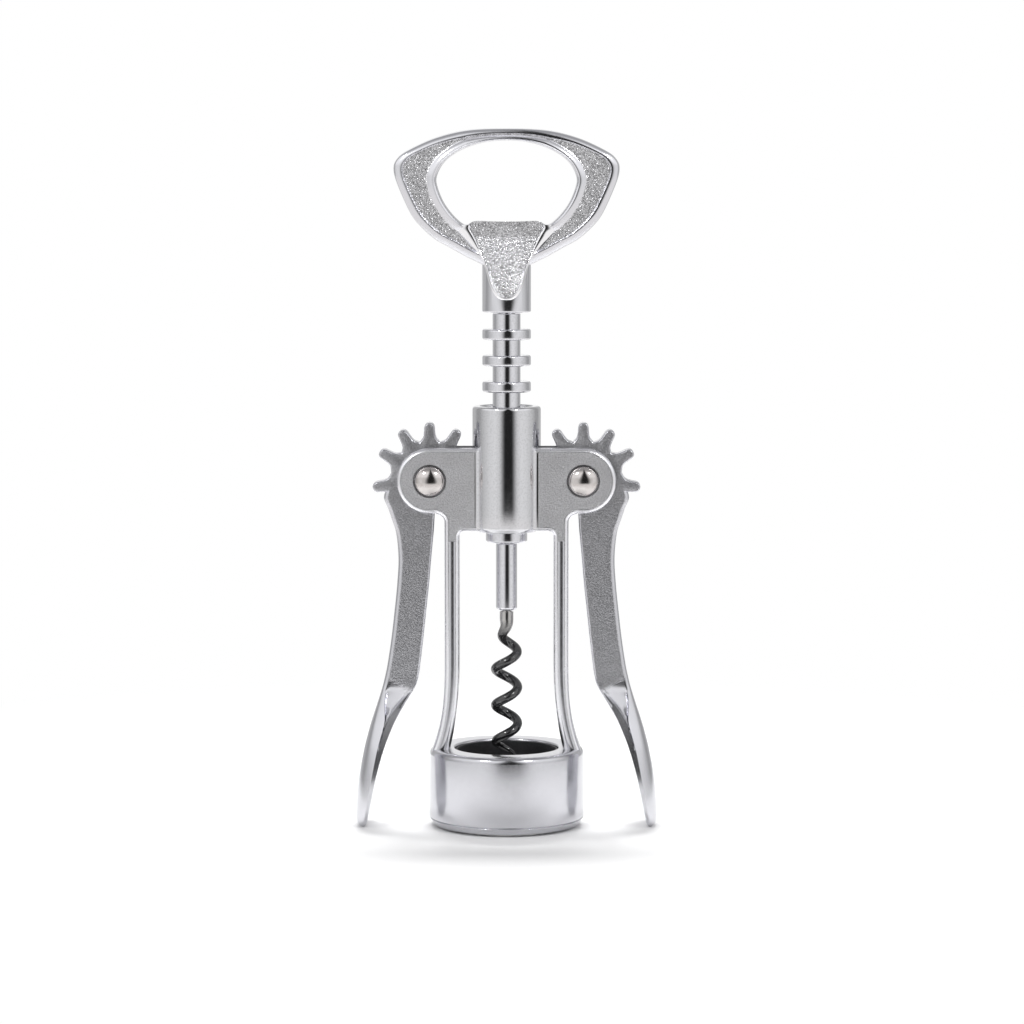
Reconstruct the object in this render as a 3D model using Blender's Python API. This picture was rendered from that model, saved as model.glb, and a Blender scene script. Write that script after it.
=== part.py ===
"""Wing corkscrew: frame with bell, two geared levers, ringed rack, worm and opener handle.

Metres, +Z up. The origin is on the worm's axis, in the plane of the lever tips, a little below
the bell's foot. The object is seen from -Y, with the left lever at -X. Each lever turns about an
axle along Y, and its teeth push the ringed rack down the barrel as the levers rise.
"""

import math

import bpy

# Levers' mechanism
PIVOT_RISE = 0.0870
GEAR_PITCH_RADIUS = 0.0125
TOOTH_ADDENDUM = 0.0019
TOOTH_DEDENDUM = 0.00245
TEETH_PER_TURN = 12
TEETH_CUT = 7
TOOTH_TIP_HALF_WIDTH = 0.00135
TOOTH_ROOT_HALF_WIDTH = 0.0021
TOOTH_LEAD_ANGLE = math.radians(0.3)
LAST_TOOTH_LAG = math.radians(7.0)
VALLEY_DIP = 0.00023
HUB_STEP = 0.00205
HUB_START_ANGLE = math.radians(23.8)
HUB_END_ANGLE = math.radians(15.2)
LEVER_THICKNESS = 0.0050
TIP_CLEARANCE = 0.0013
SLOT_CLEARANCE = 0.0003
SWEEP_CLEARANCE = 0.0006
RUNNING_CLEARANCE = 0.0003
SEAT_CLEARANCE = 0.0003

# Barrel, ears and legs
BARREL_BORE_RADIUS = 0.0066
BARREL_WALL = 0.0020
BARREL_TAPER = 0.0005
BARREL_DROP = 0.0129
BARREL_RISE = 0.0186
BARREL_RIM_ROUND = 0.0008
EAR_RADIUS = 0.00825
EAR_SWEEP = math.radians(190.0)
EAR_WALL = 0.0022
EAR_BEVEL = 0.0011
LEG_INSET = 0.0037
LEG_WIDTH = 0.0037
HEEL_WIDTH = 0.0008
HEEL_FALL = 0.0024
WINDOW_CORNER = 0.0014
WINDOW_LIFT = 0.0003
FOOT_RISE = 0.0240
FOOT_WIDTH = 0.0046
FOOT_SINK = 0.0020
FOOT_TRIM = 0.00008
FOOT_TRIM_RISE = 0.0060

# Bell and the bottle guide in it
BELL_RADIUS = 0.0194
BELL_HEIGHT = 0.01935
BELL_WALL = 0.0028
BELL_ROOF = 0.0028
BELL_LEDGE = 0.00355
BELL_EDGE_ROUND = 0.0015
BELL_FOOT_INSET = 0.0012
BELL_FOOT_RISE = 0.00155
BELL_HOLE_ROUND = 0.0005
LINER_WALL = 0.0012
LINER_ROOF = 0.0016
LINER_LIP = 0.00015
LINER_FOOT = 0.0006

# Rivets
PIN_RADIUS = 0.0020
RIVET_HEAD_RADIUS = 0.00365
RIVET_DOME = 0.0019
POCKET_CLEARANCE = 0.00035
POCKET_DEPTH = 0.0010
CAP_SOCKET_DEPTH = 0.0010

# Ringed rack
RACK_CORE_RADIUS = 0.0035
RACK_LEAD = 0.00045
RING_CLEARANCE = 0.0005
RING_HALF_THICKNESS = 0.00135
RING_ROUND = 0.0006
RING_COUNT = 7
LAND_GAP = 0.0016
RACK_NECK = 0.00384

# Shank, flange and worm
ROD_RADIUS = 0.0020
SHANK_STEP = 0.00064
SHANK_LENGTH = 0.0169
SHANK_END_WALL = 0.00024
SHANK_CHAMFER_RISE = 0.0004
FLANGE_RADIUS = 0.0052
FLANGE_HEIGHT = 0.0028
FLANGE_CHAMFER = 0.0004
TAIL_RADIUS = 0.00172
TAIL_STEP = 0.00042
TAIL_PLUG_LENGTH = 0.0040
TAIL_LENGTH = 0.0018
TAIL_TAPER = 0.0045
WORM_WIRE_RADIUS = 0.00118
WORM_COIL_RADIUS = 0.00278
WORM_PITCH = 0.0092
WORM_LENGTH = 0.0350
WORM_LEAD_IN = 0.0096
WORM_RIGHT_BEND_DROP = 0.00835
WORM_POINT_LENGTH = 0.0050

# Opener handle
COLLAR_ROUND = 0.0005
SOCKET_DEPTH = 0.0085
SHOULDER_RISE = 0.0110
HANDLE_HEIGHT = 0.0347
HANDLE_HALF_WIDTH = 0.0282
HANDLE_HALF_DEPTH = 0.0032
RIM_WIDTH = 0.0030
SIDE_WIDTH = 0.0106
HOLE_RISE = 0.0107
HOLE_DROP = 0.01015
OUTER_RIDGE = 0.0020
INNER_RIDGE = 0.0023
PANEL_DEPTH = 0.0007
NECK_RISE = 0.0064
TONGUE_TIP_RISE = 0.0034
TONGUE_SLOPE = math.radians(13.0)
TONGUE_DEPTH = 0.0005
TONGUE_TOP_HALF_WIDTH = 0.0092
TONGUE_NECK_HALF_WIDTH = 0.0045
TONGUE_NECK_RISE = 0.0010

# Lever arm
ARM_DROP = 0.0876
ARM_REACH = 0.0186
ARM_OUTER_BEVEL = 0.0011
ARM_INNER_BEVEL = 0.0005
PADDLE_HALF_DEPTH = 0.0080
SCOOP_DEPTH = 0.0014

# Drawing resolution, overrun of cutters, and the angle from which an edge stays sharp
BIG_SEGMENTS = 48
MIDDLE_SEGMENTS = 36
SMALL_SEGMENTS = 24
RIVET_SEGMENTS = 20
EAR_STEPS = 14
HUB_STEPS = 12
FOOT_STEPS = 7
CORNER_STEPS = 4
RIM_STEPS = 3
DOME_STEPS = 5
RIDGE_STEPS = 2
OUTLINE_STEPS = 4
HANDLE_STEPS = 60
LEAST_HANDLE_STEP = math.radians(0.7)
ARM_SECTIONS = 27
WORM_SIDES = 10
WORM_STEPS_PER_TURN = 16
OVERRUN = 0.0020
SHARP_ANGLE = math.radians(35.0)
RAY_TOLERANCE = 1e-9

# Left half of the handle's outline: shares of its half width and of its height above the shoulder
HANDLE_OUTLINE_SHARES = (
    (0.000, 1.000), (0.350, 0.988), (0.633, 0.932), (0.879, 0.840), (0.970, 0.780),
    (0.999, 0.712), (0.968, 0.604), (0.854, 0.396), (0.759, 0.294), (0.635, 0.205),
    (0.503, 0.145), (0.367, 0.083), (0.283, 0.050), (0.150, 0.000), (0.000, -0.020),
)
# Left half of the opening: shares of its half width, and of its rise or drop from its centre
HOLE_OUTLINE_SHARES = (
    (0.000, 1.000), (0.311, 0.960), (0.603, 0.807), (0.803, 0.615), (0.920, 0.413),
    (0.997, 0.130), (0.980, -0.066), (0.900, -0.430), (0.775, -0.735), (0.645, -0.950),
    (0.582, -1.000), (0.535, -0.990), (0.455, -0.900), (0.230, -0.920), (0.000, -0.925),
)
# A tooth's flank above its root: shares of its height and of the tip's half width
TOOTH_FLANK_SHARES = ((0.12, 1.22), (0.36, 1.03), (0.72, 0.96), (0.90, 0.74), (1.00, 0.30))
# The leg's heel under the ear: shares of the heel's width and of its fall
HEEL_SHARES = ((0.96, 0.23), (0.14, 0.60), (0.00, 1.00))
# Lever arm: drop, outer side and inner side as shares of ARM_DROP and ARM_REACH, depth as a share
# of the way from the flat arm's to the paddle's, then the outer and inner corner of the front face
# as shares of the width
ARM_STATION_SHARES = (
    (0.0166, -0.571, 0.070, 0.000, 0.16, 0.93),
    (0.0499, -0.620, 0.070, 0.000, 0.16, 0.93),
    (0.0801, -0.565, 0.066, 0.000, 0.16, 0.93),
    (0.1113, -0.516, 0.060, 0.000, 0.16, 0.93),
    (0.1508, -0.458, 0.048, 0.000, 0.16, 0.93),
    (0.2236, -0.426, 0.016, 0.000, 0.16, 0.93),
    (0.2974, -0.444, -0.014, 0.000, 0.16, 0.93),
    (0.3796, -0.483, -0.055, 0.000, 0.16, 0.93),
    (0.4607, -0.528, -0.096, 0.000, 0.16, 0.93),
    (0.5356, -0.582, -0.138, 0.000, 0.16, 0.93),
    (0.5668, -0.613, -0.160, 0.000, 0.16, 0.93),
    (0.5928, -0.643, -0.198, 0.025, 0.17, 0.92),
    (0.6427, -0.716, -0.335, 0.185, 0.33, 0.92),
    (0.6926, -0.794, -0.461, 0.447, 0.50, 0.93),
    (0.7373, -0.855, -0.555, 0.665, 0.62, 0.94),
    (0.7748, -0.899, -0.622, 0.811, 0.67, 0.95),
    (0.8382, -0.957, -0.709, 0.964, 0.71, 0.95),
    (0.8881, -0.985, -0.764, 1.000, 0.72, 0.95),
    (0.9440, -0.999, -0.818, 0.945, 0.70, 0.94),
    (0.9720, -1.002, -0.843, 0.770, 0.66, 0.92),
    (0.9890, -0.993, -0.862, 0.510, 0.62, 0.90),
    (1.0000, -0.958, -0.890, 0.156, 0.56, 0.86),
)
MORPH_START_SHARE = 0.572
MORPH_END_SHARE = 0.749
SCOOP_CENTRE_SHARE = 0.664
SCOOP_SPAN_SHARE = 0.0884
ARM_CROWDING_SHARE = 1.45
BEVEL_LIMIT_SHARE = 0.33
FLANK_SHARES = (0.0, 0.38, 0.72)
FACE_SHARES = (0.0, 0.34, 0.67, 1.0)
LAND_WIDTH_SHARE = 0.46
TOOTHED_EDGE_SHARE = 0.8
WORM_POINT_SHARE = 0.22
CUTTER_PHASE_SHARE = 0.37
CORNER_CUT_SHARE = 0.25
FOOT_OUTER_POWER = 3.0
FOOT_INNER_POWER = 2.5

# Gear, slots and ears
tooth_angle = 2 * math.pi / TEETH_PER_TURN
rack_pitch = GEAR_PITCH_RADIUS * tooth_angle
gear_tip_radius = GEAR_PITCH_RADIUS + TOOTH_ADDENDUM
gear_root_radius = GEAR_PITCH_RADIUS - TOOTH_DEDENDUM
hub_radius = gear_root_radius - HUB_STEP
pivot_spread = RACK_CORE_RADIUS + TIP_CLEARANCE + gear_tip_radius
slot_half_depth = LEVER_THICKNESS / 2 + SLOT_CLEARANCE
ear_half_depth = slot_half_depth + EAR_WALL
leg_outer = pivot_spread - LEG_INSET
leg_inner = leg_outer - LEG_WIDTH

# Heights of the axles and the bell above the lever tips
pivot_height = ARM_DROP
bell_foot = pivot_height - PIVOT_RISE
bell_top = bell_foot + BELL_HEIGHT

# Bell and guide
bell_bore_radius = BELL_RADIUS - BELL_WALL
bell_hole_radius = bell_bore_radius - BELL_LEDGE
liner_radius = bell_bore_radius - SEAT_CLEARANCE
liner_hole_radius = bell_hole_radius - LINER_LIP

# Rivets
pin_hole_radius = PIN_RADIUS + RUNNING_CLEARANCE
pocket_radius = RIVET_HEAD_RADIUS + POCKET_CLEARANCE
pocket_floor = ear_half_depth - POCKET_DEPTH
pocket_seat = pocket_floor + SEAT_CLEARANCE

# Barrel and rack
barrel_foot = pivot_height - BARREL_DROP
barrel_top = pivot_height + BARREL_RISE
barrel_radius = BARREL_BORE_RADIUS + BARREL_WALL
ring_radius = BARREL_BORE_RADIUS - RING_CLEARANCE
land_radius = BARREL_BORE_RADIUS - RUNNING_CLEARANCE
sleeve_bore = ROD_RADIUS + RUNNING_CLEARANCE
sleeve_foot = barrel_foot + SEAT_CLEARANCE
lowest_ring = pivot_height + GEAR_PITCH_RADIUS * TOOTH_LEAD_ANGLE + RACK_LEAD - rack_pitch / 2
land_top = lowest_ring - RING_HALF_THICKNESS - LAND_GAP
sleeve_top = lowest_ring + (RING_COUNT - 1) * rack_pitch + RING_HALF_THICKNESS + RACK_NECK

# Shank, flange and worm
flange_top = sleeve_foot - SEAT_CLEARANCE
flange_foot = flange_top - FLANGE_HEIGHT
shank_top = flange_foot - SEAT_CLEARANCE
shank_foot = shank_top - SHANK_LENGTH
shank_radius = ROD_RADIUS + SHANK_STEP
plug_radius = TAIL_RADIUS - TAIL_STEP
worm_tail_top = shank_foot - SEAT_CLEARANCE
coil_top = worm_tail_top - TAIL_LENGTH
worm_tip = coil_top - WORM_LENGTH

# Handle
collar_foot = sleeve_top + SEAT_CLEARANCE
collar_radius = BARREL_BORE_RADIUS - RING_CLEARANCE
socket_top = collar_foot + SOCKET_DEPTH
shoulder = collar_foot + SHOULDER_RISE
handle_top = shoulder + HANDLE_HEIGHT
hole_centre = handle_top - RIM_WIDTH - HOLE_RISE
hole_half_width = HANDLE_HALF_WIDTH - SIDE_WIDTH


def clear_scene():
    """Remove the objects that the scene starts with."""
    for item in list(bpy.data.objects):
        bpy.data.objects.remove(item, do_unlink=True)


def finish(name, colour, roughness, metallic):
    """Make a Principled material."""
    material = bpy.data.materials.new(name)
    material.use_nodes = True
    shader = material.node_tree.nodes["Principled BSDF"]
    shader.inputs["Base Color"].default_value = (*colour, 1.0)
    shader.inputs["Roughness"].default_value = roughness
    shader.inputs["Metallic"].default_value = metallic
    return material


def solid(name, points, faces, material=None, place=(0.0, 0.0, 0.0), turn=0.0):
    """Make a mesh object with its faces pointing out."""
    mesh = bpy.data.meshes.new(name)
    mesh.from_pydata(points, [], faces)
    mesh.validate()
    volume = 0.0
    for face in mesh.polygons:
        corners = [mesh.vertices[index].co for index in face.vertices]
        for second, third in zip(corners[1:-1], corners[2:]):
            volume += corners[0].dot(second.cross(third))
    if volume < 0.0:
        mesh.flip_normals()
    mesh.shade_smooth()
    mesh.set_sharp_from_angle(angle=SHARP_ANGLE)
    if material:
        mesh.materials.append(material)
    item = bpy.data.objects.new(name, mesh)
    item.location = place
    item.rotation_euler = (0.0, 0.0, turn)
    bpy.context.collection.objects.link(item)
    return item


def combine(target, tool, operation):
    """Cut, join or meet a solid with a tool solid that stays out of the render."""
    modifier = target.modifiers.new(tool.name, "BOOLEAN")
    modifier.operation = operation
    modifier.object = tool
    tool.hide_render = True
    tool.display_type = "WIRE"


def turned(profile, segments, axis="Z", phase_share=0.0):
    """Turn a closed (radius, height) profile about Z or Y; a zero radius makes a pole."""
    points = []
    rows = []
    for radius, height in profile:
        count = 1 if radius == 0.0 else segments
        row = []
        for step in range(count):
            angle = 2 * math.pi * (step + phase_share) / segments
            across = radius * math.cos(angle)
            along = radius * math.sin(angle)
            row.append(len(points))
            points.append((across, along, height) if axis == "Z" else (across, height, along))
        rows.append(row)
    faces = []
    closed = profile[0][0] != 0.0
    pairs = list(zip(rows, rows[1:] + rows[:1])) if closed else list(zip(rows, rows[1:]))
    for lower, upper in pairs:
        for step in range(segments):
            following = (step + 1) % segments
            loop = [
                lower[step % len(lower)], lower[following % len(lower)],
                upper[following % len(upper)], upper[step % len(upper)],
            ]
            face = list(dict.fromkeys(loop))
            if len(face) > 2:
                faces.append(face)
    return points, faces


def loft(sections):
    """Skin a list of closed loops that have the same number of points, with flat ends."""
    count = len(sections[0])
    points = [point for section in sections for point in section]
    faces = [list(range(count)), [len(points) - 1 - step for step in range(count)]]
    for row in range(len(sections) - 1):
        for step in range(count):
            following = (step + 1) % count
            base = row * count
            faces.append([
                base + following, base + step,
                base + count + step, base + count + following,
            ])
    return points, faces


def inset(outline, distance):
    """Move an outline inwards along its corners' bisectors; the outline runs clockwise."""
    result = []
    count = len(outline)
    for index, (across, height) in enumerate(outline):
        before = outline[index - 1]
        after = outline[(index + 1) % count]
        first = (across - before[0], height - before[1])
        second = (after[0] - across, after[1] - height)
        first_length = math.hypot(*first)
        second_length = math.hypot(*second)
        normal = (
            first[1] / first_length + second[1] / second_length,
            -first[0] / first_length - second[0] / second_length,
        )
        size = math.hypot(*normal)
        reach = distance * 2.0 / max(size * size, 1.0)
        result.append((across + normal[0] * reach, height + normal[1] * reach))
    return result


def plate(outline, half_depth, bevel, bevel_depth):
    """Make a plate along Y from a clockwise (x, z) outline, with its edges bevelled."""
    small = inset(outline, bevel)
    layers = (
        (small, -half_depth), (outline, bevel_depth - half_depth),
        (outline, half_depth - bevel_depth), (small, half_depth),
    )
    return loft([[(across, depth, height) for across, height in loop] for loop, depth in layers])


def prism(outline, near, far):
    """Make a straight prism along Y from an (x, z) outline."""
    return loft([[(across, depth, height) for across, height in outline] for depth in (near, far)])


def arc(centre, radius, start, end, steps):
    """List points on an arc; angles run clockwise from straight up."""
    points = []
    for step in range(steps + 1):
        angle = start + (end - start) * step / steps
        points.append((centre[0] + radius * math.sin(angle), centre[1] + radius * math.cos(angle)))
    return points


def quarter_round(radius, top, size, steps):
    """List a profile's points round the upper outer edge of a turned piece."""
    points = []
    for step in range(steps + 1):
        angle = math.radians(90.0) * step / steps
        points.append((radius - size * (1.0 - math.cos(angle)), top - size * (1.0 - math.sin(angle))))
    return points


def smooth(table, share):
    """Read a row of a table at a share of its first column, by cubic steps."""
    index = 0
    while index < len(table) - 2 and table[index + 1][0] < share:
        index += 1
    start = table[index]
    end = table[index + 1]
    before = table[max(index - 1, 0)]
    after = table[min(index + 2, len(table) - 1)]
    span = end[0] - start[0]
    part = (share - start[0]) / span
    row = []
    for column in range(1, len(start)):
        slope_in = (end[column] - before[column]) / (end[0] - before[0])
        slope_out = (after[column] - start[column]) / (after[0] - start[0])
        square = part * part
        cube = square * part
        value = (2 * cube - 3 * square + 1) * start[column] + (cube - 2 * square + part) * span * slope_in
        value += (3 * square - 2 * cube) * end[column] + (cube - square) * span * slope_out
        row.append(value)
    return row


def blend(first, second, share):
    """Mix two numbers."""
    return first + (second - first) * share


def eased(share):
    """Ease a share in and out between 0 and 1."""
    part = min(max(share, 0.0), 1.0)
    return part * part * (3.0 - 2.0 * part)


def frame_outline():
    """Draw ears, web and both legs as one clockwise outline, open below between the legs."""
    half = [(0.0, pivot_height + EAR_RADIUS)]
    half += arc((pivot_spread, pivot_height), EAR_RADIUS, 0.0, EAR_SWEEP, EAR_STEPS)
    heel_top = pivot_height - EAR_RADIUS
    half += [(leg_outer + HEEL_WIDTH * out, heel_top - HEEL_FALL * down) for out, down in HEEL_SHARES]
    foot_low = bell_top - FOOT_SINK
    foot_high = bell_top + FOOT_RISE
    for step in range(FOOT_STEPS + 1):
        share = step / FOOT_STEPS
        flare = share ** FOOT_OUTER_POWER
        half.append((blend(leg_outer, BELL_RADIUS, flare), blend(foot_high, foot_low, share)))
    for step in range(FOOT_STEPS + 1):
        share = 1.0 - step / FOOT_STEPS
        flare = share ** FOOT_INNER_POWER
        half.append((blend(leg_inner, BELL_RADIUS - FOOT_WIDTH, flare), blend(foot_high, foot_low, share)))
    window_top = barrel_foot + WINDOW_LIFT
    corner = (leg_inner - WINDOW_CORNER, window_top - WINDOW_CORNER)
    half += arc(corner, WINDOW_CORNER, math.radians(90.0), 0.0, CORNER_STEPS)
    half.append((0.0, window_top))
    mirrored = [(-across, height) for across, height in reversed(half[1:-1])]
    return half + mirrored


def bell_profile():
    """Turned profile of the bell, from its foot up the outside and down the bore."""
    profile = [(BELL_RADIUS - BELL_FOOT_INSET, bell_foot), (BELL_RADIUS, bell_foot + BELL_FOOT_RISE)]
    profile += quarter_round(BELL_RADIUS, bell_top, BELL_EDGE_ROUND, CORNER_STEPS)
    roof_under = bell_top - BELL_ROOF
    profile += [
        (bell_hole_radius + BELL_HOLE_ROUND, bell_top),
        (bell_hole_radius, bell_top - BELL_HOLE_ROUND),
        (bell_hole_radius, roof_under),
        (bell_bore_radius, roof_under),
        (bell_bore_radius, bell_foot),
    ]
    return profile


def barrel_profile():
    """Turned profile of the barrel's outside, solid to its axis."""
    profile = [(0.0, barrel_foot), (barrel_radius - BARREL_TAPER, barrel_foot)]
    profile += quarter_round(barrel_radius, barrel_top, BARREL_RIM_ROUND, RIM_STEPS)
    profile.append((0.0, barrel_top))
    return profile


def build_frame(material):
    """Cast the frame in one piece: ears, web and legs, barrel and bell."""
    frame = solid("frame", *plate(frame_outline(), ear_half_depth, EAR_BEVEL, EAR_BEVEL), material)
    trim_inner = BELL_RADIUS - FOOT_TRIM
    trim_outer = BELL_RADIUS + ear_half_depth
    trim_top = bell_top + FOOT_TRIM_RISE
    trim = solid("cut_foot_trim", *turned(
        [(trim_inner, bell_foot), (trim_outer, bell_foot), (trim_outer, trim_top), (trim_inner, trim_top)],
        BIG_SEGMENTS,
    ))
    combine(frame, trim, "DIFFERENCE")
    combine(frame, solid("join_bell", *turned(bell_profile(), BIG_SEGMENTS)), "UNION")
    combine(frame, solid("join_barrel", *turned(barrel_profile(), BIG_SEGMENTS)), "UNION")
    bore = [
        (0.0, barrel_foot - OVERRUN), (BARREL_BORE_RADIUS, barrel_foot - OVERRUN),
        (BARREL_BORE_RADIUS, barrel_top + OVERRUN), (0.0, barrel_top + OVERRUN),
    ]
    bore_cutter = solid("cut_bore", *turned(bore, BIG_SEGMENTS, phase_share=CUTTER_PHASE_SHARE))
    combine(frame, bore_cutter, "DIFFERENCE")
    sweep = gear_tip_radius + SWEEP_CLEARANCE
    slot = [
        (0.0, -slot_half_depth), (sweep, -slot_half_depth),
        (sweep, slot_half_depth), (0.0, slot_half_depth),
    ]
    reach = ear_half_depth + OVERRUN
    hole = [
        (0.0, -reach), (pocket_radius, -reach), (pocket_radius, -pocket_floor),
        (pin_hole_radius, -pocket_floor), (pin_hole_radius, pocket_floor),
        (pocket_radius, pocket_floor), (pocket_radius, reach), (0.0, reach),
    ]
    for side, label in ((-1, "left"), (1, "right")):
        place = (side * pivot_spread, 0.0, pivot_height)
        slot_shape = turned(slot, MIDDLE_SEGMENTS, "Y", CUTTER_PHASE_SHARE)
        combine(frame, solid(f"cut_{label}_slot", *slot_shape, place=place), "DIFFERENCE")
        hole_shape = turned(hole, SMALL_SEGMENTS, "Y")
        combine(frame, solid(f"cut_{label}_pin_hole", *hole_shape, place=place), "DIFFERENCE")


def build_liner(material):
    """Turn the plastic guide that centres the bottle's neck in the bell."""
    roof_top = bell_top - BELL_ROOF - SEAT_CLEARANCE
    foot = bell_foot + LINER_FOOT
    roof_under = roof_top - LINER_ROOF
    inner = liner_radius - LINER_WALL
    profile = [
        (liner_radius, foot), (liner_radius, roof_top), (liner_hole_radius, roof_top),
        (liner_hole_radius, roof_under), (inner, roof_under), (inner, foot),
    ]
    solid("bell_liner", *turned(profile, BIG_SEGMENTS), material)


def dome(direction):
    """Profile of a rivet's domed head, from its rim in the pocket to its crown along Y."""
    points = [(RIVET_HEAD_RADIUS, direction * pocket_seat)]
    for step in range(DOME_STEPS):
        angle = math.radians(90.0) * step / DOME_STEPS
        rise = ear_half_depth + RIVET_DOME * math.sin(angle)
        points.append((RIVET_HEAD_RADIUS * math.cos(angle), direction * rise))
    points.append((0.0, direction * (ear_half_depth + RIVET_DOME)))
    return points


def build_rivet(label, side, material):
    """Turn an axle with its domed front head, and the cap pressed on its back end."""
    place = (side * pivot_spread, 0.0, pivot_height)
    pin_end = pocket_seat + CAP_SOCKET_DEPTH
    head = list(reversed(dome(-1)))
    rivet = head + [(PIN_RADIUS, -pocket_seat), (PIN_RADIUS, pin_end), (0.0, pin_end)]
    solid(f"{label}_rivet", *turned(rivet, RIVET_SEGMENTS, "Y"), material, place)
    socket_end = pin_end + SEAT_CLEARANCE
    cap = [(0.0, socket_end), (pin_hole_radius, socket_end), (pin_hole_radius, pocket_seat)] + dome(1)
    solid(f"{label}_rivet_cap", *turned(cap, RIVET_SEGMENTS, "Y"), material, place)


def gear_outline():
    """Draw the lever's toothed head about its axle, clockwise from below the last tooth."""
    points = []
    first = math.radians(90.0) - TOOTH_LEAD_ANGLE - (TEETH_CUT - 1) * tooth_angle
    flank = [(gear_root_radius, -TOOTH_ROOT_HALF_WIDTH)]
    for rise, part in TOOTH_FLANK_SHARES:
        flank.append((blend(gear_root_radius, gear_tip_radius, rise), -TOOTH_TIP_HALF_WIDTH * part))
    flanks = flank + [(radius, -width) for radius, width in reversed(flank)]
    valley_radius = gear_root_radius - VALLEY_DIP
    for tooth in range(TEETH_CUT):
        middle = first + tooth * tooth_angle
        if tooth == 0:
            middle -= LAST_TOOTH_LAG
        for radius, width in flanks:
            across = radius * math.sin(middle) + width * math.cos(middle)
            height = radius * math.cos(middle) - width * math.sin(middle)
            points.append((across, height))
        if tooth < TEETH_CUT - 1:
            valley = (middle + first + (tooth + 1) * tooth_angle) / 2
            points.append((valley_radius * math.sin(valley), valley_radius * math.cos(valley)))
    start = first + (TEETH_CUT - 1) * tooth_angle + HUB_START_ANGLE
    end = first - LAST_TOOTH_LAG + 2 * math.pi - HUB_END_ANGLE
    points += arc((0.0, 0.0), hub_radius, start, end, HUB_STEPS)
    return points


def arm_section(share):
    """Draw the lever arm's level cross section at a share of its drop."""
    outer, inner, depth, edge_outer, edge_inner = smooth(ARM_STATION_SHARES, share)
    left = outer * ARM_REACH
    right = inner * ARM_REACH
    width = right - left
    deep = blend(LEVER_THICKNESS / 2, PADDLE_HALF_DEPTH, depth)
    morph = eased((share - MORPH_START_SHARE) / (MORPH_END_SHARE - MORPH_START_SHARE))
    scoop_reach = min(abs(share - SCOOP_CENTRE_SHARE) / SCOOP_SPAN_SHARE, 1.0)
    scoop = SCOOP_DEPTH * (1.0 - scoop_reach * scoop_reach) ** 2
    outer_bevel = min(ARM_OUTER_BEVEL, width * BEVEL_LIMIT_SHARE)
    inner_bevel = min(ARM_INNER_BEVEL, width * BEVEL_LIMIT_SHARE)
    front = []
    for flank in FLANK_SHARES:
        plate_depth = flank / FLANK_SHARES[-1] * (deep - outer_bevel)
        curve = flank * flank * edge_outer * width
        front.append((left + morph * curve, -blend(plate_depth, flank * deep, morph)))
    face_left = blend(left + outer_bevel, left + edge_outer * width, morph)
    face_right = blend(right - inner_bevel, left + edge_inner * width, morph)
    for face in FACE_SHARES:
        hollow = scoop if 0.0 < face < 1.0 else 0.0
        front.append((blend(face_left, face_right, face), hollow - deep))
    for flank in reversed(FLANK_SHARES):
        plate_depth = flank / FLANK_SHARES[-1] * (deep - inner_bevel)
        curve = flank * flank * (1.0 - edge_inner) * width
        front.append((right - morph * curve, -blend(plate_depth, flank * deep, morph)))
    back = [(across, -depth_at) for across, depth_at in reversed(front[1:-1])]
    level = -share * ARM_DROP
    return [(across, depth_at, level) for across, depth_at in front + back]


def build_lever(label, side, material):
    """Make a lever: toothed head, flat arm, and a thumb paddle turned edge-on to the arm."""
    place = (side * pivot_spread, 0.0, pivot_height)
    turn = 0.0 if side < 0 else math.pi
    half = LEVER_THICKNESS / 2
    edge = ARM_INNER_BEVEL / 2
    lever = solid(f"{label}_lever", *plate(gear_outline(), half, edge, edge), material, place, turn)
    first = ARM_STATION_SHARES[0][0]
    last = ARM_STATION_SHARES[-1][0]
    sections = []
    for step in range(ARM_SECTIONS + 1):
        crowded = 1.0 - (1.0 - step / ARM_SECTIONS) ** ARM_CROWDING_SHARE
        sections.append(arm_section(blend(first, last, crowded)))
    combine(lever, solid(f"join_{label}_arm", *loft(sections), None, place, turn), "UNION")
    reach = half + OVERRUN
    bore = [(0.0, -reach), (pin_hole_radius, -reach), (pin_hole_radius, reach), (0.0, reach)]
    bore_shape = turned(bore, SMALL_SEGMENTS, "Y")
    combine(lever, solid(f"cut_{label}_lever_bore", *bore_shape, None, place, turn), "DIFFERENCE")


def build_rack(material):
    """Turn the ringed rack: rings for the teeth, a guide land below and a bore for the rod."""
    profile = [
        (sleeve_bore, sleeve_foot), (land_radius - RING_ROUND, sleeve_foot),
        (land_radius, sleeve_foot + RING_ROUND), (land_radius, land_top - RING_ROUND),
        (land_radius - RING_ROUND, land_top), (RACK_CORE_RADIUS, land_top),
    ]
    for ring in range(RING_COUNT):
        middle = lowest_ring + ring * rack_pitch
        for direction in (-1, 1):
            side = [
                (RACK_CORE_RADIUS, middle + direction * RING_HALF_THICKNESS),
                (ring_radius - RING_ROUND, middle + direction * RING_HALF_THICKNESS),
                (ring_radius, middle + direction * (RING_HALF_THICKNESS - RING_ROUND)),
            ]
            profile += side if direction < 0 else reversed(side)
    profile += [(RACK_CORE_RADIUS, sleeve_top), (sleeve_bore, sleeve_top)]
    solid("rack_sleeve", *turned(profile, RIVET_SEGMENTS), material)


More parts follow.
